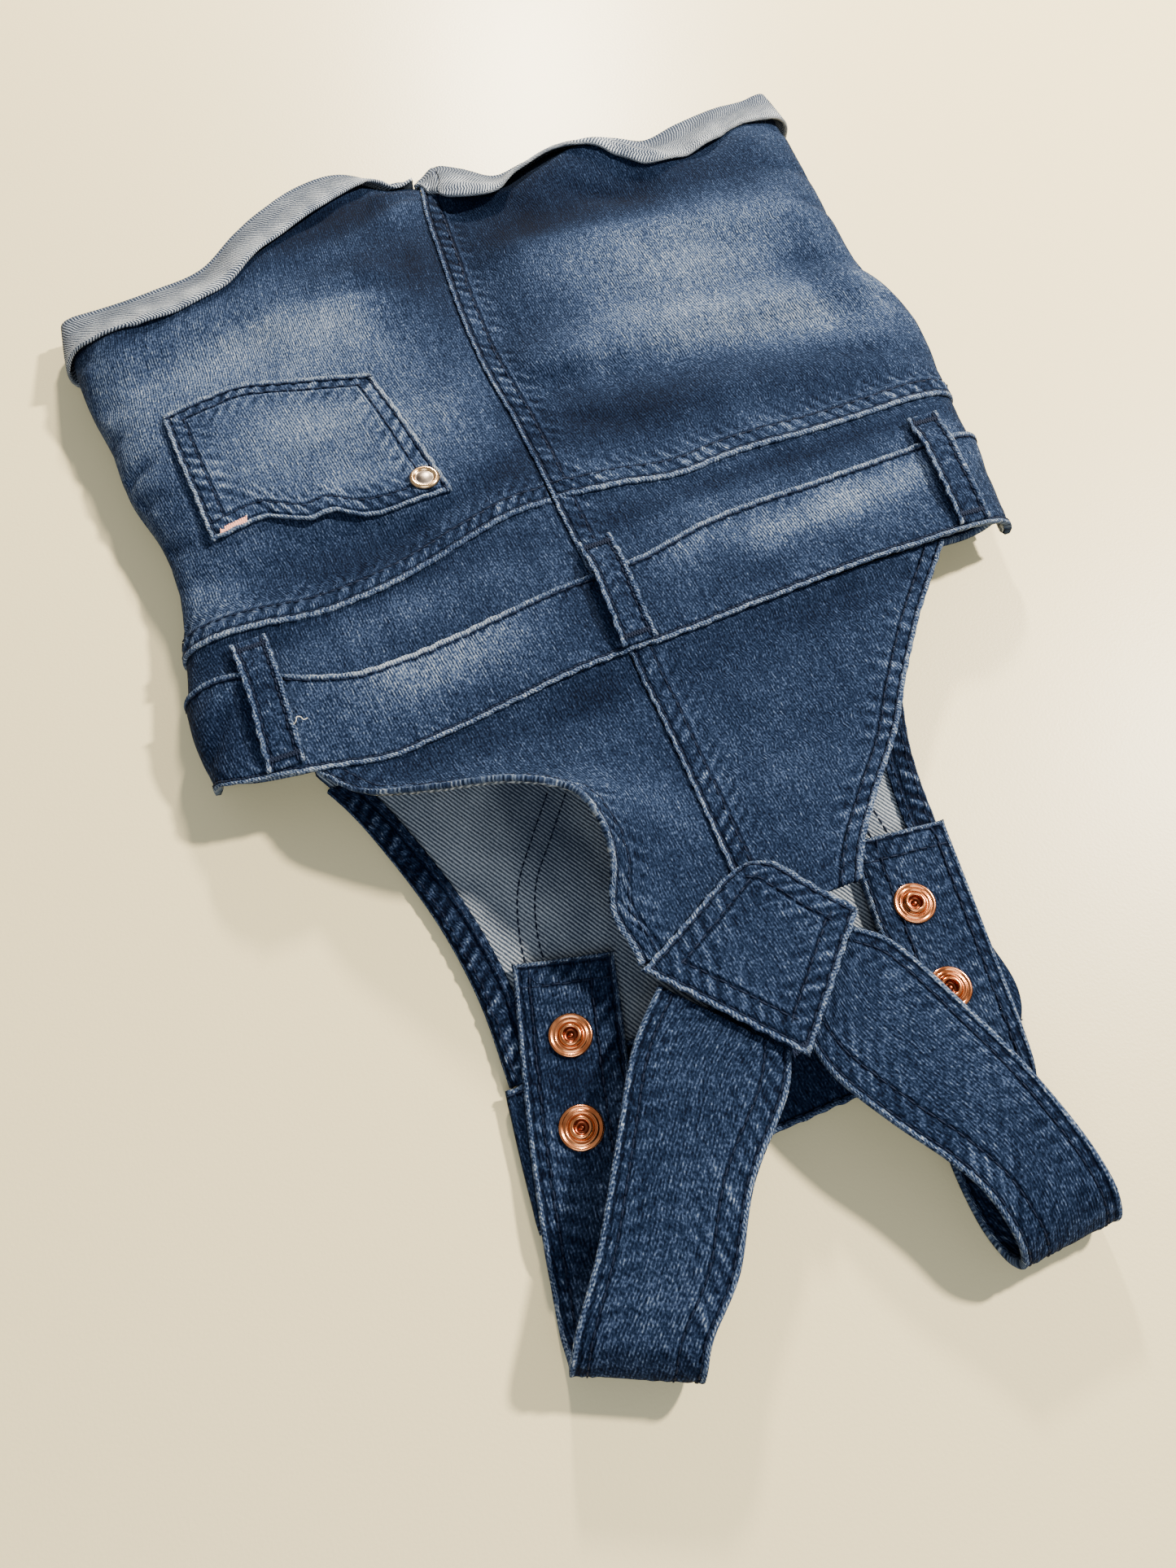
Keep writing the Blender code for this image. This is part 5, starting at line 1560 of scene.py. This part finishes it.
# pale and dark areas of the wash, and painted shade on the bib just below the waistband
BIB_FADES_AND_SHADE = [
    Fade(-60, -30, 40, 5, 0, -0.30),
    # painted shade below the waistband, beside the centre seam and belt loop
    Fade(-20, -28, 9, 5, 0, -0.45),
    Fade(46, -26, 50, 5, 0, -0.22),
    Fade(30, -60, 24, 22, 0, 0.05),
    Fade(-20, -66, 14, 22, 30, 0.06),
    Fade(-4, -100, 20, 8, 0, -0.15),
]
STEPS_BIB = np.concatenate([
    np.linspace(0, 0.16, 20),
    np.linspace(0.16, 0.82, 46)[1:],
    np.linspace(0.82, 1, 24)[1:],
])
BIB_DENIM = make_denim("denim_bib", -0.13, 0.90)


def bib_back_grid(side, shares, rows):
    share = shares[None, :]
    row = rows[:, None]
    y = -60.0 + 0 * (share + row)
    for _ in range(8):
        armhole_x = read(BACK_ARMHOLE[side], "y", "x", y)
        x = blend(centre_x(y), armhole_x, share)
        y = blend(seam_line(WAIST_BACK, "bib_edge", x) + 1.0, BIB_BACK_END, row)
    edge_z = read(BACK_ARMHOLE[side], "y", "z", y)
    z = blend(back_height(x, y) + seam_raise(x, y), edge_z, share ** BIB_CURL[side])
    return np.stack([x, y, z], axis=2)


def make_bib_back(side):
    name = SIDE_NAMES[side]
    grid = bib_back_grid(side, STEPS_BIB, np.linspace(0, 1, 92))
    x, y = grid[..., 0], grid[..., 1]
    relief = crease_height(BIB_CREASES, x, y) + 0.20 * waves(x, y, 38, 9) + 0.08 * waves(x, y, 13, 10)
    seams = {"last column": FELL_WIDTH}
    if side == LEFT:
        seams["first column"] = FELL_WIDTH
    grid, marks = work_seams(push(grid, relief), seams, 91 + side)
    hem = 0.5 * (1 - ease(from_edges(grid)["last column"][0], 7.2, 8.4))
    grid = push(grid, hem)
    marks["wear_and_shade"] += fade_and_shade_sum(BIB_FADES_AND_SHADE, x, y) + 0.2 * relief
    thickness = (DENIM + hem)[..., None]
    finishes = (BIB_DENIM, PLAIN_REVERSE)
    cut = cut_places(grid, side)
    piece = make_shell("bib_back_shell_" + name, grid, thickness, finishes, marks, cut)
    rows = felled_rows(grid, "last column", 1.0)
    if side == LEFT:
        rows += felled_rows(grid, "first column", 1.0)
    stitches = sew("bib_back_stitches_" + name, rows)
    lay(piece, "bib_back_" + name, [stitches])


for side in (RIGHT, LEFT):
    make_bib_back(side)

# ================================================================ front of the bib
# The bib lies inside up, so its grey reverse shows through the armholes. It has a chest
# pocket on its outer face, turned hems along the armholes and a folded band along its top.
BIB_LIFT = 1.6
HEM = 1.0
BIB_HEM_WIDTH = 8.5
Bib = namedtuple("Bib", "y right left")
BIB_FRONT = [
    Bib(-121, -80.5, 56.5),
    Bib(-95, -80, 58.5),
    Bib(-71, -83, 63.5),
    Bib(-48, -89, 73),
    Bib(-28, -96, 84),
    Bib(-14, -103, 94),
]
BIB_BAND = [
    Bib(-157.5, -87.5, 50.5),
    Bib(-152, -87, 54),
    Bib(-131, -84.5, 55),
    Bib(-121, -83, 55.5),
]
CHEST_TOP = [(-66, -100), (-10, -101), (45, -100)]
CHEST_BOTTOM = [(-54, -42), (-30, -37), (8, -37), (34, -42)]
CHEST_RIGHT = [(-66, -100), (-66, -72), (-62, -54), (-54, -42)]
CHEST_LEFT = [(45, -100), (46, -72), (42, -54), (34, -42)]
CHEST_ROWS = [          # the chest pocket's stitches, seen from inside the bib
    [(-42, -46), (-50, -56), (-60, -70), (-65, -86), (-66, -98)],
    [(-37, -48), (-45, -58), (-55, -71), (-60, -86), (-61, -98)],
    [(22, -46), (34, -58), (42, -72), (45, -98)],
    [(18, -49), (29, -60), (37, -73), (40, -98)],
]
# painted shade on the bib's reverse, mostly the shadow of the curled right armhole
BIB_PAINTED_SHADE = [
    Fade(-46, -54, 11, 26, 0, -0.28),
    Fade(-72, -52, 12, 16, 0, 0.05),
    Fade(-40, -92, 14, 16, 0, -0.10),
]
BIB_REVERSE = make_reverse("denim_reverse_bib", -0.58, 1.0, 0.62, 0.43)
BIB_EDGE_DENIM = make_denim("denim_bib_edge", -0.26, 0.9)


def make_bib_front():
    share = np.linspace(0, 1, 100)[None, :]
    row = np.linspace(0, 1, 76)[:, None]
    y = -60.0 + 0 * (share + row)
    for _ in range(5):
        right = read(BIB_FRONT, "y", "right", y) + 0.8
        left = read(BIB_FRONT, "y", "left", y) - 0.8
        x = blend(right, left, share)
        y = blend(seam_line(WAIST_FRONT, "bib_edge", x) + 0.6, BIB_FRONT[0].y, row)
    inside = ease(np.minimum(x - right, left - x), 6, 20) * ease(y, -121, -100)
    z = BIB_LIFT + 0.7 * inside * (0.5 + 0.5 * waves(x, y, 44, 12))
    grid = np.stack([x, y, z], axis=2)
    marks = work_seams(grid, {"last row": 0}, 101)[1]
    # the pale mark here holds painted shade
    marks["pale"] = fade_and_shade_sum(BIB_PAINTED_SHADE, x, y)
    finishes = (BIB_DENIM, BIB_REVERSE)
    cut = grid[..., :2]
    piece = make_shell("bib_front_shell", grid, DENIM, finishes, marks, cut, face_up=False)
    tree = faces_below([piece])
    rows = []
    for line in CHEST_ROWS:
        plan = line_through(line, np.linspace(0, 1, 60))
        height = drop_on(tree, plan[:, 0], plan[:, 1], BIB_LIFT + DENIM)
        rows.append(np.column_stack([plan, height + 0.15]))
    stitches = sew("chest_pocket_stitches", rows)
    lay(piece, "bib_front", [stitches])


def make_bib_hem(side):
    """Hem along one armhole; it is rolled over the cut edge of the bib."""
    name = SIDE_NAMES[side]
    top = BIB_LIFT + DENIM + GAP + HEM
    section = [(-0.5, BIB_LIFT + 0.1), (-0.75, BIB_LIFT + 1.0), (-0.65, top - 0.7), (-0.2, top - 0.15)]
    section += [(place, top) for place in np.linspace(0.4, BIB_HEM_WIDTH, 18)]
    inward, height = np.array(section).T
    y = np.linspace(-20, -120.5, 120)[:, None] + 0 * inward
    x = read(BIB_FRONT, "y", name, y) - side * inward
    grid = np.stack([x, y, height + 0 * x], axis=2)
    grid, marks = work_seams(grid, {"first column": 9.0}, 105 + side)
    marks["wear_and_shade"] *= 1.5
    cut = np.stack([lengths(grid, 1), y], axis=2)
    finishes = (BIB_EDGE_DENIM, BIB_EDGE_DENIM)
    piece = make_shell("bib_hem_shell_" + name, grid, 0.8, finishes, marks, cut)
    rows = [inset(grid, "first column", distance, 1.0) for distance in (4.2, 9.6)]
    stitches = sew("bib_hem_stitches_" + name, rows)
    lay(piece, "bib_hem_" + name, [stitches])


def make_bib_band():
    y = np.linspace(-120.6, -157.5, 40)[:, None]
    share = np.linspace(0, 1, 120)[None, :]
    x = blend(read(BIB_BAND, "y", "right", y), read(BIB_BAND, "y", "left", y), share)
    thickness = DENIM + GAP + HEM
    grid = np.stack([x, y + 0 * x, BIB_LIFT + thickness + 0 * x], axis=2)
    grid, marks = work_seams(grid, {"first row": 0, "last row": 0}, 108, stand=0.2)
    cut = np.stack([x, y + 0 * x], axis=2)
    finishes = (BIB_EDGE_DENIM, BIB_EDGE_DENIM)
    piece = make_shell("bib_band_shell", grid, thickness, finishes, marks, cut)
    rows = [inset(grid, edge, FIRST_ROW, 1.0) for edge in ("first row", "last row")]
    lay(piece, "bib_top_band", [sew("bib_band_stitches", rows)])


def make_chest_pocket():
    plan = span_grid(CHEST_TOP, CHEST_BOTTOM, CHEST_RIGHT, CHEST_LEFT, 44, 60)
    grid = np.dstack([plan, np.zeros(plan.shape[:2])])
    seams = {"first row": 8, "last row": 8, "first column": 8, "last column": 8}
    marks = work_seams(grid, seams, 111)[1]
    finishes = (BIB_DENIM, PLAIN_REVERSE)
    piece = make_shell("chest_pocket", grid, DENIM, finishes, marks, plan, face_up=False)
    lay(piece, "bib_pocket")


make_chest_pocket()
make_bib_front()
for side in (RIGHT, LEFT):
    make_bib_hem(side)
make_bib_band()

# ================================================================ shoulder straps
# Two straps of doubled denim, from under the patch over the shoulder and back down to the
# bib. Each has two close rows along its inner edge, one along its outer edge, and a box.
STRAP = 2.0
STRAP_ON_BIB = 4.6
Strap = namedtuple("Strap", "xa ya xb yb z")
STRAP_PATH = {
    RIGHT: [
        Strap(-37, -113, -12.5, -142, 19),
        Strap(-50, -126, -18.5, -151.5, 19.5),
        Strap(-63, -146, -35, -167, 20.5),
        Strap(-76, -166, -47, -184, 20.5),
        Strap(-87, -180, -58, -194, 18.5),
        Strap(-91, -186, -62, -200, 14.5),
        Strap(-92.5, -188.5, -63.5, -202, 9),
        Strap(-92, -186.5, -63.5, -199, 3.2),
        Strap(-91.5, -180, -63, -190, 0.4),
        Strap(-89.5, -169, -61, -174, 0.6),
        Strap(-88, -161, -59.5, -165.5, 3.6),
        Strap(-86, -152, -57.5, -156.5, STRAP_ON_BIB),
        Strap(-81.5, -133, -53.5, -139, STRAP_ON_BIB),
        Strap(-75, -109.5, -47, -115.5, STRAP_ON_BIB),
        Strap(-69.5, -90, -42, -97, STRAP_ON_BIB),
    ],
    LEFT: [
        Strap(-8, -140, 17, -118, 19),
        Strap(-6, -152, 25.5, -127, 19.5),
        Strap(1.5, -167, 34, -149.5, 20.5),
        Strap(9.7, -180, 40, -168, 20.5),
        Strap(14.5, -190, 44, -186, 20),
        Strap(16.5, -200, 45.7, -198, 18),
        Strap(17.3, -206, 46.2, -204.5, 14),
        Strap(17.3, -208.8, 46, -208, 9),
        Strap(16.3, -205.5, 45.4, -206, 3.2),
        Strap(15.4, -196, 44.6, -198, 0.4),
        Strap(15.9, -182, 45.5, -185, 0.4),
        Strap(18.3, -169, 47.5, -173, 0.6),
        Strap(19.8, -161, 49, -165.5, 3.6),
        Strap(21.5, -152, 50.5, -156.5, STRAP_ON_BIB),
        Strap(25, -132, 54, -136, STRAP_ON_BIB),
        Strap(28, -112, 57.3, -116, STRAP_ON_BIB),
        Strap(31.5, -93, 60.4, -97, STRAP_ON_BIB),
    ],
}
# pale and dark areas of the wash, and painted shade on the right strap's lower run under its fold
STRAP_FADES_AND_SHADE = [
    Fade(-68, -182, 22, 16, 0, 0.24),
    Fade(-66, -125, 10, 9, 0, -0.50),
    Fade(-57, -100, 8, 6, 0, 0.20),
    # painted shade on the lower run, under the fold
    Fade(-74, -160, 14, 20, 0, -0.10),
    Fade(26, -150, 12, 24, 30, 0.08),
]
STRAP_DENIM = make_denim("denim_strap", -0.14, 0.98)


def strap_grid(side, across):
    """Grid of a strap at about even steps along it."""
    rows = STRAP_PATH[side]
    fine = np.linspace(0, len(rows) - 1, 1200)
    path = [smooth(fine, np.arange(len(rows)), column) for column in zip(*rows)]
    xa, ya, xb, yb, z = path
    a = np.stack([xa, ya, z], axis=1)
    b = np.stack([xb, yb, z], axis=1)
    middle = (a + b) / 2
    run = run_along(middle)
    even = np.linspace(0, run[-1], int(run[-1] / 0.9))
    a = np.stack([np.interp(even, run, a[:, axis]) for axis in range(3)], axis=1)
    b = np.stack([np.interp(even, run, b[:, axis]) for axis in range(3)], axis=1)
    share = np.linspace(0, 1, across)[None, :, None]
    return a[:, None] + (b - a)[:, None] * share


def make_strap(side):
    name = SIDE_NAMES[side]
    base = strap_grid(side, 40)
    inner = "last column" if side == RIGHT else "first column"
    outer = "first column" if side == RIGHT else "last column"
    x, y = base[..., 0], base[..., 1]
    run = lengths(base, 0)
    across = lengths(base, 1)
    relief = 0.16 * waves(x, y + run, 24, 14) + 0.25 * ripple(run + 0.35 * across, 9.0, 120 + side)
    relief = relief * ease(across, 1, 9) * ease(across[:, -1:] - across, 1, 9)
    grid, marks = work_seams(base, {inner: 8.5, outer: 5.5, "last row": 8.5}, 121 + side)
    seam_height = ((grid - base) * face_normals(base)).sum(axis=2)
    grid = push(base, 0.64 * seam_height + 0.5 * relief)
    marks["wear_and_shade"] = 0.9 * marks["wear_and_shade"] + 0.11 * ripple(run + 0.5 * across, 5.0, 131 + side)
    marks["wear_and_shade"] += fade_and_shade_sum(STRAP_FADES_AND_SHADE, x, y)
    thickness = (STRAP + 0.96 * seam_height)[..., None]
    finishes = (STRAP_DENIM, STRAP_DENIM)
    cut = np.stack([across, run], axis=2)
    piece = make_shell("strap_shell_" + name, grid, thickness, finishes, marks, cut)
    rows = []
    for lift in (0.1, -STRAP - 0.1):
        for edge, distance in ((inner, FIRST_ROW), (inner, 7.6), (outer, 4.6),
                               ("last row", FIRST_ROW), ("last row", 7.6)):
            rows.append(inset(grid, edge, distance, 2.0, lift))
    stitches = sew("strap_stitches_" + name, rows)
    lay(piece, "strap_" + name, [stitches])


for side in (RIGHT, LEFT):
    make_strap(side)

# ================================================================ patch over the crossing
# A five-sided patch of denim that covers the ends of the straps and of the back bib. It is
# sewn through all of them with two rows round its edge, and tacked at its lower tip.
PATCH = 1.4
PATCH_BED = 1.6
PATCH_A = [(-40, -108.5), (-23, -100.2), (-6, -92.4), (-1.5, -91.4)]
PATCH_B = [(-1.5, -91.4), (4.5, -93.4), (12.4, -104), (20.3, -115)]
PATCH_C = [(20.3, -115), (5.2, -130.3), (-10, -145.5)]
PATCH_D = [(-40, -108.5), (-25, -127), (-10, -145.5)]
PATCH_DENIM = make_denim("denim_patch", -0.12, 0.9)


def make_patch():
    plan = span_grid(PATCH_A, PATCH_C[::-1], PATCH_D, PATCH_B, 62, 62)
    x, y = plan[..., 0], plan[..., 1]
    bed = read(BACK_HEIGHT, "y", "z", y) + PATCH_BED
    grid = np.stack([x, y, bed + PATCH + 0.25 * waves(x, y, 26, 15)], axis=2)
    seams = {"first row": 8.5, "last row": 8.5, "first column": 8.5, "last column": 8.5}
    grid, marks = work_seams(grid, seams, 141, stand=0.15)
    near_bib = np.minimum(from_edges(grid)["first row"][0], from_edges(grid)["last column"][0])
    grid[..., 2] -= 0.9 * (1 - ease(near_bib, 0, 5))
    piece = make_shell("patch_shell", grid, PATCH, (PATCH_DENIM, PLAIN_REVERSE), marks, plan)
    rows = []
    for edge in seams:
        rows += [inset(grid, edge, FIRST_ROW, 1.8), inset(grid, edge, 7.6, 7.2)]
    extra = [sew("patch_stitches", rows)]
    tip = grid[-4, 3]
    extra.append(make_bar_tack("patch_tack", tip, (7, 1.5, 0), (0, 1.6, 0), NAVY_THREAD, turns=10))
    lay(piece, "back_patch", extra)


make_patch()

# ================================================================ snaps
# Four ringed snap caps of polished copper, two on each strap's end. The shank of each is a
# small tube that is rolled over in the middle, and closes the cap through the strap.
Snap = namedtuple("Snap", "name x y turn")
SNAPS = [
    Snap("snap_right_end", -61.9, -114.4, 0.2),
    Snap("snap_right_inner", -68.2, -137.4, 0.7),
    Snap("snap_left_end", 39.7, -116.6, 1.1),
    Snap("snap_left_inner", 36.9, -141.2, 1.9),
]
HOLLOW = make_metal("copper_hollow", (0.13, 0.028, 0.010), (0.26, 0.060, 0.025), 0.22)
SNAP_PROFILE = [
    (0, 0.0), (5.5, 0.0), (5.85, 0.25), (5.9, 0.6), (5.7, 0.95), (5.35, 1.05), (5.0, 0.95), (4.8, 0.72),
    (4.6, 0.72), (4.4, 0.95), (4.1, 1.08), (3.85, 0.98), (3.65, 0.75), (3.45, 0.78), (3.2, 1.15),
    (2.95, 1.6), (2.6, 1.9), (2.25, 1.95), (1.98, 1.75), (1.85, 1.3), (1.8, 0.5), (1.2, 0.35),
    (0.8, 0.4), (0.62, 0.75), (0.4, 0.9), (0, 0.92),
]


def make_snap(snap):
    centre = (snap.x, snap.y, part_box(snap.name)[0].z / MM - 0.3)
    finishes = (COPPER, HOLLOW)
    piece = spin(snap.name + "_cap", centre, SNAP_PROFILE, finishes, 17, turn=snap.turn)
    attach(piece, "root")
    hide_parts(snap.name)


for snap in SNAPS:
    make_snap(snap)

# ================================================================ table, light and camera
# A pale laminate table, lit by ceiling lamps beyond the legs of the shorts and to the right.
# The camera stands by the straps and looks down over the shorts, as the photographer did.
def make_table():
    size = 1.4
    mesh = bpy.data.meshes.new("table")
    corners = [(-size, -size, 0.0), (size, -size, 0.0), (size, size, 0.0), (-size, size, 0.0)]
    mesh.from_pydata(corners, [], [(0, 1, 2, 3)])
    laminate, tree, shader = start_material("table_laminate")
    join(tree, shader, {
        "Normal": bumped(tree, object_noise(tree, 1100.0, 1.0), 0.06 * MM, 0.6),
        "Base Color": (0.735, 0.62, 0.355, 1.0),
        "Roughness": 0.42,
    })
    mesh.materials.append(laminate)
    into_scene("table", mesh)


make_table()

Lamp = namedtuple("Lamp", "name toward_x toward_y toward_z distance size power colour")
LAMPS = [               # directions from the shorts, as their shadows show
    Lamp("lamp_far", 0.66, 2.0, 1.15, 1.0, 0.09, 22.0, (1.0, 0.92, 0.78)),
    Lamp("lamp_right", 1.06, 0.1, 1.1, 1.1, 0.09, 38.0, (1.0, 0.92, 0.78)),
    Lamp("window", -0.4, -1.2, 1.3, 2.0, 1.6, 22.0, (0.80, 0.90, 1.0)),
]
for lamp in LAMPS:
    light = bpy.data.lights.new(lamp.name, "AREA")
    light.shape = "DISK"
    light.size = lamp.size
    light.energy = lamp.power
    light.color = lamp.colour
    shown = into_scene(lamp.name, light)
    toward = Vector((lamp.toward_x, lamp.toward_y, lamp.toward_z)).normalized()
    shown.location = toward * lamp.distance
    shown.rotation_euler = toward.to_track_quat("Z", "Y").to_euler()
room = bpy.data.worlds.new("room")
room.use_nodes = True
room_light = {"Color": (0.90, 0.95, 1.0, 1.0), "Strength": 0.42}
join(room.node_tree, room.node_tree.nodes["Background"], room_light)
bpy.context.scene.world = room

CAMERA_PLACE = (-84.7, -181.9, 316.0)
CAMERA_DOWN = math.radians(65.0)
CAMERA_HEADING = math.radians(22.35)
camera_data = bpy.data.cameras.new("camera")
camera_data.sensor_fit = "VERTICAL"
camera_data.sensor_height = 36.0
camera_data.lens = 27.05
camera_data.clip_start = 0.01
camera = into_scene("camera", camera_data)
camera.location = to_frame(CAMERA_PLACE)[0]
camera.rotation_euler = (math.pi / 2 - CAMERA_DOWN, 0.0, -CAMERA_HEADING)
bpy.context.scene.camera = camera
